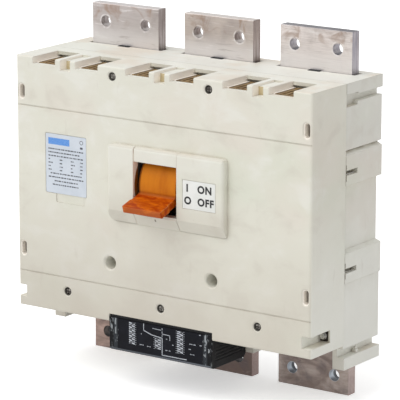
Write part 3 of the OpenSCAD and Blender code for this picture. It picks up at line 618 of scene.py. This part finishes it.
def lower_bar(node):
    """Browner bar with slanting stains and rubbed places, the centre one darker as painted shade under the
    trip unit, and hole walls painted with light and shade.
    """
    pole = node.rsplit("_", 1)[1]
    look = Look("dull_" + node, COPPER_FACE[pole], metallic=0.7)
    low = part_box(node)[0]
    slanting = look.noise(24, 4, stretch=(1, 1, 1.6), distortion=1.2)
    grain = look.noise(700, 3, stretch=(0.1, 1, 1))
    look.paint(look.spread(slanting, 0.32, 0.68, 0, 0.85), COPPER_DARK)
    look.paint(look.spread(look.noise(60, 4), 0.48, 0.72, 0, 0.6), COPPER_STAIN)
    rubs = look.spread(look.noise(130, 4, stretch=(0.3, 1, 1), distortion=0.6), 0.6, 0.74, 0, 0.5)
    look.paint(rubs, COPPER_RUB)
    look.paint(look.spread(grain, 0.4, 0.7, 0, 0.25), COPPER_DARK)
    sawn = look.sideways(0.7)
    look.paint(look.product(sawn, look.spread(grain, 0.3, 0.6, 0.5, 1)), COPPER_END)
    from_hole = hole_distance(look, middle_x(node), low.z + HOLE_EDGE)
    # Painted light and shade on the hole walls: a tone per bar, bluish light on the right one, dark deep in
    # and at the bottom
    walls = look.below(from_hole, HOLE_R + 0.35 * MM, 0.25 * MM)
    deep_shade = look.above(look.y, low.y + 9 * MM, 2 * MM, 0.9)
    hole_floor_shade = look.spread(look.facing("Z"), 0.35, 0.9, 0, 0.75)
    wall_colour = look.mix(look.math("MAXIMUM", deep_shade, hole_floor_shade), HOLE_WALL_LIGHTING[pole], HOLE_SHADE)
    look.paint(walls, wall_colour)
    look.rough(slanting, 0.42, 0.6)
    look.relief(grain, 0.06, 0.15 * MM, 0.7 * MM)
    return look.material


FIBRE_LIGHT = srgb(164, 136, 92)
FIBRE_DARK = srgb(116, 90, 56)
SOOT = srgb(66, 50, 36)
CHUTE_RIM = 4.2 * MM


def chute_rims(look):
    """Mask of the left rim of each of the six chutes."""
    rims = []
    for pole in POLES:
        middle = middle_x("upper_terminal_" + pole)
        for left in (middle - VENT_HALF - VENT_W, middle + VENT_HALF):
            rims.append(look.near(look.x, left + CHUTE_RIM / 2, CHUTE_RIM / 2, 0.2 * MM))
    return look.combine("ADD", rims)


def pressed_fibre():
    """Brown pressed fibre with soot, painted ivory along the left rims."""
    look = Look("arc_fibre", FIBRE_LIGHT, roughness=0.75)
    fibres = look.noise(420, 4, stretch=(1, 0.15, 1))
    look.paint(look.spread(fibres, 0.3, 0.7), FIBRE_DARK)
    look.paint(look.spread(look.noise(60, 3), 0.45, 0.75, 0, 0.7), SOOT)
    look.paint(look.product(chute_rims(look), 0.95), POCKET_PALE)
    look.set("Normal", look.bump(fibres, 0.3, 0.3 * MM))
    return look.material


def plain_steel(name, light, dark, roughness=0.42):
    """Steel with a fine grain of two shades."""
    look = Look(name, light, metallic=0.9)
    grain = look.noise(320, 4, stretch=(1, 0.2, 1))
    look.paint(look.spread(grain, 0.3, 0.7), dark)
    look.rough(grain, roughness - 0.08, roughness + 0.12)
    look.relief(grain, 0.15, 0.1 * MM, 0.3 * MM)
    return look.material


CASE_BLACK = srgb(18, 18, 20)
CASE_DUST = srgb(40, 40, 42)
CASE_RUBBED = srgb(70, 71, 74)
CASE_LIP_SHEEN = srgb(94, 99, 106)
FACE_NAVY = srgb(9, 10, 18)
FACE_HAZE = srgb(22, 24, 34)
CLIP_DARK = srgb(14, 15, 18)
CLIP_SHEEN = srgb(54, 58, 63)
CLIP_PALE = srgb(186, 192, 196)
SWITCH_WHITE = srgb(206, 211, 218)
SWITCH_GREY = srgb(170, 176, 186)
SWITCH_GAP = srgb(24, 26, 34)
GAP_SLOPE = 0.22


def black_plastic():
    """Dusty black plastic, rubbed at its edges, with a painted sheen along the lip at the foot of the trip
    unit.
    """
    look = Look("black_case", CASE_BLACK)
    dust = look.spread(look.noise(40, 4), 0.45, 0.75, 0, 0.4)
    look.paint(dust, CASE_DUST)
    look.paint(look.spread(look.edges(0.7 * MM), 0, 1, 0, 0.6), CASE_RUBBED)
    low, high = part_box("trip_unit_case")
    # Painted sheen along the lip, stronger to the right
    front = look.spread(look.facing("Y"), -0.4, -0.8)
    foot = look.below(look.z, low.z + LIP_H, 0.2 * MM)
    lip = look.product(front, foot, look.spread(look.x, low.x, high.x, 0.6, 1))
    look.paint(lip, CASE_LIP_SHEEN)
    look.rough(look.noise(90, 3), 0.42, 0.6)
    look.set("Specular IOR Level", 0.25)
    look.relief(look.noise(1100, 3), 0.12, 0.2 * MM, 0.6 * MM)
    return look.material


def printed_face():
    """Hazy navy face of the trip unit."""
    look = Look("navy_face", FACE_NAVY)
    look.paint(look.spread(look.noise(55, 4), 0.4, 0.75, 0, 0.6), FACE_HAZE)
    look.rough(look.noise(200, 3), 0.34, 0.5)
    look.set("Specular IOR Level", 0.12)
    look.set("Normal", look.bump(look.noise(900, 2), 0.04, 0.1 * MM))
    return look.material


def smoky_plastic(node):
    """Dark clear plastic with broken scratches, and a painted reflection: a pale upright streak with a
    painted sheen round it.
    """
    look = Look("smoky_" + node, CLIP_DARK)
    low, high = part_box(node)
    middle = (low.x + high.x) / 2
    # Painted reflection: a pale upright streak, with a painted sheen round it
    streak_x = middle - math.copysign(0.2 * (high.x - low.x), middle)
    upright_line = look.near(look.x, streak_x, 0.85 * MM, 0.35 * MM)
    scratches = look.spread(look.noise(360, 3, stretch=(1, 1, 0.2), distortion=0.8), 0.55, 0.61)
    broken = look.spread(look.noise(150, 3), 0.44, 0.54)
    # The pale marks, painted reflection and scratches, are fainter on the left clip
    share = 0.6 if middle < 0 else 0.85
    pale = look.product(look.math("MAXIMUM", upright_line, scratches), broken, share)
    look.paint(look.near(look.x, streak_x, 2.8 * MM, 0.6 * MM, 0.8), CLIP_SHEEN)
    look.paint(pale, CLIP_PALE)
    look.set("Roughness", look.spread(scratches, 0, 1, 0.3, 0.5))
    look.set("Specular IOR Level", 0.12)
    look.relief(scratches, 0.2, 0.1 * MM, 0.5 * MM)
    return look.material


def white_switch():
    """White switch bars with slanting dark gaps, dark in the sunk places between them."""
    look = Look("white_switch", SWITCH_WHITE)
    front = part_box("selector_bank_left")[0].y
    sunk = look.above(look.y, front + 0.2 * MM, 0.1 * MM)
    slope = look.product(look.x, GAP_SLOPE)
    turns = look.product(look.math("ADD", look.z, slope), 2 * math.pi / BANK_STEP)
    gaps = look.spread(look.math("SINE", turns), -0.2, 0.2, 0, 0.9)
    look.paint(look.spread(look.noise(300, 3), 0.4, 0.7), SWITCH_GREY)
    look.paint(look.math("MAXIMUM", sunk, gaps), SWITCH_GAP)
    look.rough(look.noise(500, 3), 0.4, 0.6)
    look.set("Normal", look.bump(look.noise(800, 2), 0.06, 0.1 * MM))
    return look.material


def plate_sheet(name, base, tint):
    """Printed sheet: slightly uneven colour and a satin face."""
    look = Look(name, base)
    look.paint(look.spread(look.noise(40, 3), 0.35, 0.7), tint)
    look.rough(look.noise(180, 3), 0.3, 0.46)
    look.relief(look.noise(500, 3), 0.04, 0.1 * MM, 0.2 * MM)
    return look.material


def ink(name, base, worn):
    """Print that is worn in places."""
    look = Look(name, base)
    look.paint(look.spread(look.noise(700, 3), 0.42, 0.72), worn)
    look.rough(look.noise(900, 2), 0.4, 0.6)
    return look.material


def shared_looks():
    """Materials that several nodes share, by the start of their names."""
    return {"base_housing": moulded_ivory("ivory_base", IVORY_COOL),
            "front_cover": cover_ivory(),
            "escutcheon": escutcheon_ivory(),
            "operating_handle": amber_handle(),
            "handle_shaft": plain_steel("shaft_steel", srgb(176, 176, 178), srgb(120, 120, 124)),
            "arc_chute": pressed_fibre(),
            "splitter_plates": plain_steel("splitter_steel", srgb(130, 124, 118), srgb(78, 70, 64), 0.55),
            "trip_unit_case": black_plastic(),
            "trip_unit_face_plate": printed_face(),
            "selector_bank": white_switch(),
            "cover_clip": plain_steel("clip_steel", srgb(206, 204, 200), srgb(140, 136, 130))}


def dress_nodes():
    """Gives every CAD node its material."""
    shared = shared_looks()
    for name, node in NODES.items():
        if name.startswith("upper_terminal"):
            material = upper_bar(name)
        elif name.startswith("lower_terminal"):
            material = lower_bar(name)
        elif name.startswith("trip_unit_clip"):
            material = smoky_plastic(name)
        else:
            material = next(look for start, look in shared.items() if name.startswith(start))
        node.data.materials.clear()
        node.data.materials.append(material)


# Pieces

def add_object(name, data):
    """New object in the scene."""
    thing = bpy.data.objects.new(name, data)
    bpy.context.scene.collection.objects.link(thing)
    return thing


def make_piece(name, mesh, material, body="housing"):
    """Puts a mesh in the scene as a piece that rides on a body."""
    piece = add_object(name, mesh)
    mesh.materials.clear()
    mesh.materials.append(material)
    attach(piece, body)
    return piece


def mesh_of(name, points, faces):
    """Mesh of points and faces."""
    mesh = bpy.data.meshes.new(name)
    mesh.from_pydata(points, [], faces)
    mesh.update()
    return mesh


def prism(outline, y_front, y_back):
    """Points and faces of an outline (x, z), given anticlockwise from the front, between two depths."""
    count = len(outline)
    points = [(x, y_front, z) for x, z in outline] + [(x, y_back, z) for x, z in outline]
    faces = [tuple(range(count)), tuple(range(2 * count - 1, count - 1, -1))]
    for k in range(count):
        after = (k + 1) % count
        faces.append((k, k + count, after + count, after))
    return points, faces


def join_prisms(name, prisms):
    """One mesh of several separate prisms, each (outline, y_front, y_back)."""
    points, faces = [], []
    for outline, y_front, y_back in prisms:
        start = len(points)
        some_points, some_faces = prism(outline, y_front, y_back)
        points += some_points
        faces += [tuple(start + k for k in face) for face in some_faces]
    return mesh_of(name, points, faces)


def build(name, prisms, material, soft=None):
    """Piece of separate prisms, with its edges rounded where soft gives a width."""
    piece = make_piece(name, join_prisms(name, prisms), material)
    if soft is not None:
        bevel = piece.modifiers.new("soft_edges", "BEVEL")
        bevel.width = soft
        bevel.segments = 2


def rectangle(x_low, z_low, x_high, z_high):
    """Outline of a rectangle."""
    return [(x_low, z_low), (x_high, z_low), (x_high, z_high), (x_low, z_high)]


def rounded(x_low, z_low, x_high, z_high, radius, steps=6):
    """Rectangle with round corners, anticlockwise from the lower right corner."""
    outline = []
    corners = [(x_high - radius, z_low + radius), (x_high - radius, z_high - radius),
               (x_low + radius, z_high - radius), (x_low + radius, z_low + radius)]
    for quarter, (x, z) in enumerate(corners):
        for k in range(steps + 1):
            angle = math.pi / 2 * (quarter - 1 + k / steps)
            outline.append((x + radius * math.cos(angle), z + radius * math.sin(angle)))
    return outline


def arc(x, z, radius, start, end, steps):
    """Points of an arc between two angles in radians."""
    turn = [start + (end - start) * k / steps for k in range(steps + 1)]
    return [(x + radius * math.cos(a), z + radius * math.sin(a)) for a in turn]


def disc(x, z, radius, steps):
    """Outline of a disc."""
    return arc(x, z, radius, 0, 2 * math.pi, steps)[:-1]


def hexagon(x, z, across):
    """Outline of a hexagon head by its width across flats."""
    return disc(x, z, across / math.sqrt(3), 6)


def cross_head(x, z, radius, slot):
    """Outlines of the four pads that a cross slot leaves of a round screw head."""
    pads = []
    for quarter in range(4):
        middle = math.pi / 4 + quarter * math.pi / 2
        half = math.pi / 4 - math.asin(slot / 2 / radius)
        corner = slot / 2 * math.sqrt(2)
        inner = (x + corner * math.cos(middle), z + corner * math.sin(middle))
        pads.append([inner] + arc(x, z, radius, middle - half, middle + half, 10))
    return pads


def ring(x, z, radius, width, quarter_steps=10):
    """Outlines of a ring, as quarters that meet."""
    quarters = []
    for quarter in range(4):
        start = quarter * math.pi / 2
        end = start + math.pi / 2
        outer = arc(x, z, radius, start, end, quarter_steps)
        inner = arc(x, z, radius - width, end, start, quarter_steps)
        quarters.append(outer + inner)
    return quarters


# Cover screws: radii, and heights above the floor of their recesses
WASHER_R = 4.3 * MM
WASHER_TOP = 1.0 * MM
CORE_R = 3.2 * MM
CORE_TOP = 2.6 * MM
HEAD_R = 3.4 * MM
HEAD_TOP = 4.2 * MM
HEAD_SLOT = 1.1 * MM


def cover_screws():
    """Cross-slotted screws on washers at the bottom of the five recesses of the cover."""
    steel = plain_steel("screw_steel", srgb(150, 146, 140), srgb(84, 78, 74))
    floor = COVER_LOW.y + SCREW_RECESS
    for k, (x, z) in enumerate(screw_places()):
        name = f"cover_screw_{k + 1}"
        washer = (disc(x, z, WASHER_R, 40), floor - WASHER_TOP, floor)
        core = (disc(x, z, CORE_R, 32), floor - CORE_TOP, floor - WASHER_TOP)
        pads = [(pad, floor - HEAD_TOP, floor - CORE_TOP) for pad in cross_head(x, z, HEAD_R, HEAD_SLOT)]
        build(name, [washer, core] + pads, steel, 0.25 * MM)


# Fillers: inset and depth of those in the grooves, and depths of the one in the joint
FILLER_INSET = 0.6 * EDGE_R
FILLER_SUNK = 0.4 * LINE_W
JOINT_SUNK = 0.2 * MM
JOINT_DEEP = 4 * MM


def line_fillers():
    """Ivory strips low in the two grooves across the cover, which leave them shallow."""
    left = COVER_LOW.x + FILLER_INSET
    right = COVER_HIGH.x - FILLER_INSET
    front = COVER_LOW.y
    ivory = bpy.data.materials["ivory_cover"]
    for name, z in (("upper_line_filler", UPPER_LINE), ("lower_line_filler", -LOWER_LINE)):
        strip = rectangle(left, z - LINE_W / 2, right, z + LINE_W / 2)
        build(name, [(strip, front + FILLER_SUNK, front + LINE_W)], ivory)


def joint_filler():
    """Ivory strip in the joint between the left block and the bar above the opening."""
    low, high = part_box("escutcheon_left_block")
    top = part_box("escutcheon_plate")[1].z - 2 * EDGE_R
    strip = rectangle(high.x, OPENING_TOP, high.x + JOINT_W, top)
    front = low.y + BAR_SET
    ivory = bpy.data.materials["ivory_escutcheon"]
    build("joint_filler", [(strip, front + JOINT_SUNK, front + JOINT_DEEP)], ivory)


# Notch bolts: half sizes and corners of the washers, radii, and heights above the back of the notches
PAD_HALF = (5.6 * MM, 6.4 * MM)
PAD_R = 1.2 * MM
PAD_TOP = 1.2 * MM
COLLAR_R = 4.4 * MM
COLLAR_TOP = 2.0 * MM
BOLT_ACROSS = 7 * MM
BOLT_TOP = 5.2 * MM


def notch_bolts():
    """Bolt heads on dark square washers at the back of the two corner notches; the dark washers stand in
    for the shade there.
    """
    wall = COVER_LOW.y + NOTCH_DEEP
    z = COVER_LOW.z + NOTCH_Z
    zinc = plain_steel("bolt_zinc", srgb(222, 222, 220), srgb(170, 168, 164), 0.3)
    # The dark washers are put where the back of each notch is only in shade
    dark = plain_steel("notch_shade_black", srgb(70, 62, 56), srgb(40, 36, 34), 0.5)
    for name, x in (("left", COVER_LOW.x + BOLT_INSET), ("right", COVER_HIGH.x - BOLT_INSET)):
        washer = rounded(x - PAD_HALF[0], z - PAD_HALF[1], x + PAD_HALF[0], z + PAD_HALF[1], PAD_R)
        build("notch_shade_washer_" + name, [(washer, wall - PAD_TOP, wall)], dark)
        collar = (disc(x, z, COLLAR_R, 32), wall - COLLAR_TOP, wall - PAD_TOP)
        head = (hexagon(x, z, BOLT_ACROSS), wall - BOLT_TOP, wall - COLLAR_TOP)
        build("notch_bolt_" + name, [collar, head], zinc, 0.3 * MM)


# Black notch plugs, put in place of the notches' shade: gap to the notch, depth, heights above the housing,
# and inset of the lip on top
PLUG_GAP = 0.3 * MM
PLUG_BACK = 0.2 * MM
PLUG_DEEP = 8 * MM
PLUG_TOP = 0.4 * MM
PLUG_LIP_TOP = 1.0 * MM
PLUG_LIP_IN = 1 * MM
PLUG_LIP_Y = (1.2 * MM, 0.6 * MM)


def notch_shade_plugs():
    """Black plugs in the small notches in front of the upper bars, which stand in for the shade in the
    notches.
    """
    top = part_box("base_housing")[1].z
    black = bpy.data.materials["black_case"]
    for pole in POLES:
        middle = middle_x("upper_terminal_" + pole)
        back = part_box("upper_terminal_" + pole)[0].y
        front = back - BAR_NOTCH[1]
        half = BAR_NOTCH[0] / 2 - PLUG_GAP
        sides = rectangle(middle - half, top - PLUG_DEEP, middle + half, top + PLUG_TOP)
        half -= PLUG_LIP_IN
        lip = rectangle(middle - half, top + PLUG_TOP, middle + half, top + PLUG_LIP_TOP)
        prisms = [(sides, front + PLUG_GAP, back - PLUG_BACK),
                  (lip, front + PLUG_LIP_Y[0], back - PLUG_LIP_Y[1])]
        build("notch_shade_plug_" + pole, prisms, black, 0.2 * MM)


# Dashes that stand for print: least space for one, and ranges of lengths and gaps in millimetres
DASH_LEAST = 1.5 * MM
DASH_LENGTH = (1.0, 4.2)
DASH_GAP = (0.5, 1.3)


def dash_row(rng, x_low, x_high, z, height):
    """Row of dashes of uneven length, like lines of small print seen from afar."""
    row = []
    x = x_low
    while x < x_high - DASH_LEAST:
        length = rng.uniform(*DASH_LENGTH) * MM
        end = min(x + length, x_high)
        row.append(rectangle(x, z - height / 2, end, z + height / 2))
        x = end + rng.uniform(*DASH_GAP) * MM
    return row


def print_piece(name, outlines, surface, material):
    """Thin print that stands on the surface at y = surface."""
    prisms = [(outline, surface - PRINT_T, surface + PRINT_T) for outline in outlines]
    build(name, prisms, material)


# Rating plate: gap to its recess, depth of its face, corners, and what is printed, from its top and sides
PLATE_GAP = 0.5 * MM
PLATE_SUNK = 0.1 * MM
PLATE_CORNER = 1.8 * MM
PLATE_MARGIN = (4.5 * MM, 4 * MM)
BLUE_BAR = (32 * MM, 5.5 * MM, 13.5 * MM)
SIGN_IN = 7 * MM
SIGN_R = 2.6 * MM
SIGN_W = 0.7 * MM
STAMP_HALF = 2 * MM
STAMP_DROP = (12.5 * MM, 15 * MM)
ROWS_DROP = 19 * MM
ROW_STEP = 4.3 * MM
LAST_STEP = 4.6 * MM
ROW_H = 1.5 * MM
CELL_H = 1.4 * MM
CELL_LENGTH = (3.5, 6.5)
COLUMN_STEP = 17 * MM


def plate_rows(rng, left, right, top):
    """Dashes of the rating plate: three full rows, a table of columns, and four full rows."""
    rows = []
    z = top - ROWS_DROP
    for k in range(3):
        rows += dash_row(rng, left, right - 6 * MM * (k % 2), z, ROW_H)
        z -= ROW_STEP
    columns = (left, left + COLUMN_STEP, left + 2 * COLUMN_STEP, right - 5 * MM)
    for _ in range(4):
        for column in columns:
            rows += dash_row(rng, column, column + rng.uniform(*CELL_LENGTH) * MM, z, CELL_H)
        z -= ROW_STEP
    for inset in (3, 0, 9, 6):
        rows += dash_row(rng, left + inset * MM, right - inset * MM, z, ROW_H)
        z -= LAST_STEP
    return rows


def rating_plate():
    """Metal plate in its recess, with a plain blue bar, a ring, a block and rows of dashes."""
    left = COVER_LOW.x + PLATE_LEFT
    right = left + PLATE_SIZE[0] - PLATE_GAP
    foot = PLATE_TOP - PLATE_SIZE[1] + PLATE_GAP
    face = COVER_LOW.y + PLATE_SUNK
    sheet = plate_sheet("plate_sheet", srgb(214, 221, 230), srgb(204, 212, 222))
    outline = rounded(left + PLATE_GAP, foot, right, PLATE_TOP - PLATE_GAP, PLATE_CORNER)
    build("rating_plate", [(outline, face, COVER_LOW.y + PLATE_RECESS)], sheet)
    rng = random.Random(7)
    inner = left + PLATE_MARGIN[0]
    bar_w, bar_top, bar_foot = BLUE_BAR
    bar = [rectangle(inner, PLATE_TOP - bar_foot, inner + bar_w, PLATE_TOP - bar_top)]
    blue = ink("blue_ink", srgb(88, 146, 222), srgb(126, 172, 232))
    print_piece("rating_plate_bar", bar, face, blue)
    dark = ink("grey_ink", srgb(72, 74, 82), srgb(120, 124, 132))
    rows = plate_rows(rng, inner, right - PLATE_MARGIN[1], PLATE_TOP)
    sign_x = right - SIGN_IN
    rows += ring(sign_x, PLATE_TOP - SIGN_IN, SIGN_R, SIGN_W)
    rows.append(rectangle(sign_x - STAMP_HALF, PLATE_TOP - STAMP_DROP[1],
                          sign_x + STAMP_HALF, PLATE_TOP - STAMP_DROP[0]))
    print_piece("rating_plate_rows", rows, face, dark)


# Switch label: gap to its recess, depth of its face, corners, and its letters
LABEL_GAP = 0.6 * MM
LABEL_SUNK = 0.15 * MM
LABEL_CORNER = 0.6 * MM
LETTER_H = 12.2 * MM
LETTER_SPACE = 1.12
LETTER_BOLD = 0.042
LETTER_RISE = 7.5 * MM


def text_mesh(name, words, height, x, z, y_front):
    """Bold block letters standing on a front face."""
    curve = bpy.data.curves.new(name, "FONT")
    curve.body = words
    curve.size = height
    curve.space_character = LETTER_SPACE
    curve.align_x = "CENTER"
    curve.align_y = "CENTER"
    curve.offset = LETTER_BOLD * height
    curve.extrude = PRINT_T
    holder = add_object(name, curve)
    bpy.context.view_layer.update()
    mesh = bpy.data.meshes.new_from_object(holder.evaluated_get(bpy.context.evaluated_depsgraph_get()))
    bpy.data.objects.remove(holder)
    mesh.transform(Matrix.Translation((x, y_front, z)) @ Matrix.Rotation(math.pi / 2, 4, "X"))
    return mesh


def switch_label():
    """White label on the right block with the two switch positions."""
    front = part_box("escutcheon_right_block")[0].y
    face = front + LABEL_SUNK
    width, height = LABEL_SIZE
    outline = rounded(LABEL_LEFT + LABEL_GAP, LABEL_MIDDLE - height / 2 + LABEL_GAP,
                      LABEL_LEFT + width - LABEL_GAP, LABEL_MIDDLE + height / 2 - LABEL_GAP, LABEL_CORNER)
    paper = plate_sheet("label_paper", srgb(240, 241, 238), srgb(228, 229, 224))
    build("switch_label", [(outline, face, front + LABEL_RECESS)], paper)
    black = ink("black_ink", srgb(14, 14, 16), srgb(34, 34, 36))
    middle = LABEL_LEFT + width / 2
    for name, words, rise in (("label_upper_line", "I   ON", LETTER_RISE),
                              ("label_lower_line", "O  OFF", -LETTER_RISE)):
        mesh = text_mesh(name, words, LETTER_H, middle, LABEL_MIDDLE + rise, face)
        make_piece(name, mesh, black)


# Ticks beside the selector banks: gap, range of lengths in millimetres, and half thickness
TICK_GAP = 0.8 * MM
TICK_LENGTH = (0.8, 1.4)
TICK_HALF = 0.3 * MM


def bank_ticks(node, rng, side):
    """Tick marks at the left (-1) or the right (1) of a selector bank."""
    low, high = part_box(node)
    edge = high.x if side > 0 else low.x
    steps = round((high.z - low.z) / BANK_STEP)
    marks = []
    for k in range(steps + 1):
        z = low.z + (high.z - low.z) * k / steps
        near = edge + side * TICK_GAP
        far = near + side * rng.uniform(*TICK_LENGTH) * MM
        marks.append(rectangle(min(near, far), z - TICK_HALF, max(near, far), z + TICK_HALF))
    return marks


def line(x_from, z_from, x_to, z_to, width):
    """Outline of a printed line between two points."""
    along = Vector((x_to - x_from, z_to - z_from))
    aside = Vector((-along.y, along.x)).normalized() * width / 2
    start = Vector((x_from, z_from))
    end = start + along
    return [tuple(start - aside), tuple(end - aside), tuple(end + aside), tuple(start + aside)]


def route(points, width):
    """Outlines of a printed line through several points."""
    return [line(*start, *end, width) for start, end in zip(points, points[1:])]


def trip_diagram(at):
    """Plain sketch of a switch and its line: an open arm, a coil and two branches."""
    arm = [at(-24, 3.6), at(-24, 12), at(-12, 15.8), at(3.2, 17.4), at(3.2, 38.4), at(39, 38.2)]
    marks = route(arm, 1.1 * MM)
    for drop in (5, 9, 13):
        marks += route([at(3.2, drop), at(3.2, drop + 2.6)], 0.8 * MM)
    marks += route([at(-11, 7.4), at(1.5, 7.8)], 0.7 * MM)
    marks += route([at(3.2, 12.2), at(14.5, 12.6), at(14.5, 19)], 0.8 * MM)
    return marks


def trip_dashes(rng, at):
    """Short rows of dashes beside the sketch, each by its start, drop and length."""
    marks = []
    left = [(-30, 30.5, 7), (-28, 17, 2), (-19, 31, 5)]
    middle = [(8, 31.5, 3), (9, 17.5, 2.4), (13, 31.5, 3), (18, 23.5, 2)]
    right = [(42, 24.5, 3), (43, 18, 10), (44, 30.5, 7), (57, 4.8, 4), (58, 17.5, 3)]
    for x, drop, length in left + middle + right:
        start, z = at(x, drop)
        marks += dash_row(rng, start, start + length * MM, z, 0.9 * MM)
    return marks


def trip_print():
    """White print on the face of the trip unit."""
    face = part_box("trip_unit_face_plate")[0].y
    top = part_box("trip_unit_case")[1].z

    def at(x, drop):
        """Point of the face in millimetres from its middle and below the top of the case."""
        return (x * MM, top - drop * MM)

    rng = random.Random(11)
    marks = trip_diagram(at)
    for pole, sides in (("left", (1,)), ("centre", (-1,)), ("right", (-1, 1))):
        for side in sides:
            marks += bank_ticks("selector_bank_" + pole, rng, side)
    marks += trip_dashes(rng, at)
    white = ink("white_ink", srgb(188, 193, 200), srgb(112, 116, 124))
    print_piece("trip_unit_print", marks, face, white)


# Channel posts: inset from the side, place from front to back, width, height, and share of stem and tip
POST_IN = 5.5 * MM
POST_Y = -45 * MM
POST_W = 5 * MM
POST_H = 7 * MM
STEM_SHARE = 0.55
TIP_SHARE = 0.6


def channel_posts():
    """Small stepped posts that stand on the foot flange, in the channels along both sides."""
    low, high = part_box("base_housing")
    ivory = bpy.data.materials["ivory_base"]
    foot = low.z + FLANGE_H
    half = POST_W / 2
    thin = TIP_SHARE * half
    step = foot + STEM_SHARE * POST_H
    for name, side in (("left", -1), ("right", 1)):
        x = side * (high.x - POST_IN)
        stem = rectangle(x - half, foot, x + half, step)
        tip = rectangle(x - thin, step, x + thin, foot + POST_H)
        prisms = [(stem, POST_Y - half, POST_Y + half), (tip, POST_Y - thin, POST_Y + thin)]
        build("channel_post_" + name, prisms, ivory, 0.4 * MM)


# Camera, light and stage

def set_camera():
    """Camera at the photograph's viewing angle."""
    data = bpy.data.cameras.new("camera")
    data.sensor_width = SENSOR
    data.lens = FOCAL_PIXELS / PICTURE * SENSOR
    ahead = Vector((-math.sin(CAMERA_AZIMUTH) * math.cos(CAMERA_ELEVATION),
                    math.cos(CAMERA_AZIMUTH) * math.cos(CAMERA_ELEVATION), -math.sin(CAMERA_ELEVATION)))
    camera = add_object("camera", data)
    camera.location = CAMERA_PLACE
    camera.rotation_euler = ahead.to_track_quat("-Z", "Y").to_euler()
    bpy.context.scene.camera = camera


def add_sun(name, azimuth, elevation, strength, angle):
    """Soft distant lamp; azimuth 0 shines on the front, positive from the right."""
    data = bpy.data.lights.new(name, "SUN")
    data.energy = strength
    data.angle = math.radians(angle)
    lamp = add_object(name, data)
    lamp.rotation_euler = (math.radians(90 - elevation), 0, math.radians(azimuth))


def seen_directly(tree):
    """1 for rays from the camera, or reflected or let through by gloss and glass."""
    path = tree.nodes.new("ShaderNodeLightPath")
    total = path.outputs["Is Camera Ray"]
    for name in ("Is Glossy Ray", "Is Transmission Ray"):
        larger = tree.nodes.new("ShaderNodeMath")
        larger.operation = "MAXIMUM"
        tree.links.new(total, larger.inputs[0])
        tree.links.new(path.outputs[name], larger.inputs[1])
        total = larger.outputs[0]
    return total


def by_sight(tree, unseen, seen):
    """One value where something only gives light, another where it is seen."""
    level = tree.nodes.new("ShaderNodeMapRange")
    tree.links.new(seen_directly(tree), level.inputs["Value"])
    level.inputs["To Min"].default_value = unseen
    level.inputs["To Max"].default_value = seen
    return level.outputs["Result"]


def set_world():
    """Even sky that is white where it is seen."""
    world = bpy.data.worlds.new("studio")
    bpy.context.scene.world = world
    world.use_nodes = True
    tree = world.node_tree
    background = tree.nodes["Background"]
    background.inputs["Color"].default_value = WHITE
    tree.links.new(by_sight(tree, SKY_STRENGTH, 1.0), background.inputs["Strength"])


def lay_floor():
    """Pale floor under the lower bars, white in the light and grey in the object's shadow."""
    level = CAD_BOX[0].z
    half = FLOOR_SIZE / 2
    corners = [(-half, -half, level), (half, -half, level), (half, half, level), (-half, half, level)]
    mesh = mesh_of("floor", corners, [(0, 1, 2, 3)])
    floor = add_object("floor", mesh)
    look = Look("floor_paper", FLOOR_GREY, roughness=0.9)
    look.set("Specular IOR Level", 0.0)
    look.set("Emission Color", WHITE)
    look.set("Emission Strength", by_sight(look.tree, 0.0, FLOOR_GLOW))
    mesh.materials.append(look.material)


def set_stage():
    """Camera, light and floor."""
    bpy.context.scene.view_settings.view_transform = "Standard"
    set_camera()
    set_world()
    add_sun("key_sun", *KEY_SUN)
    lay_floor()


set_stage()
dress_nodes()
line_fillers()
joint_filler()
cover_screws()
notch_bolts()
notch_shade_plugs()
rating_plate()
switch_label()
trip_print()
channel_posts()
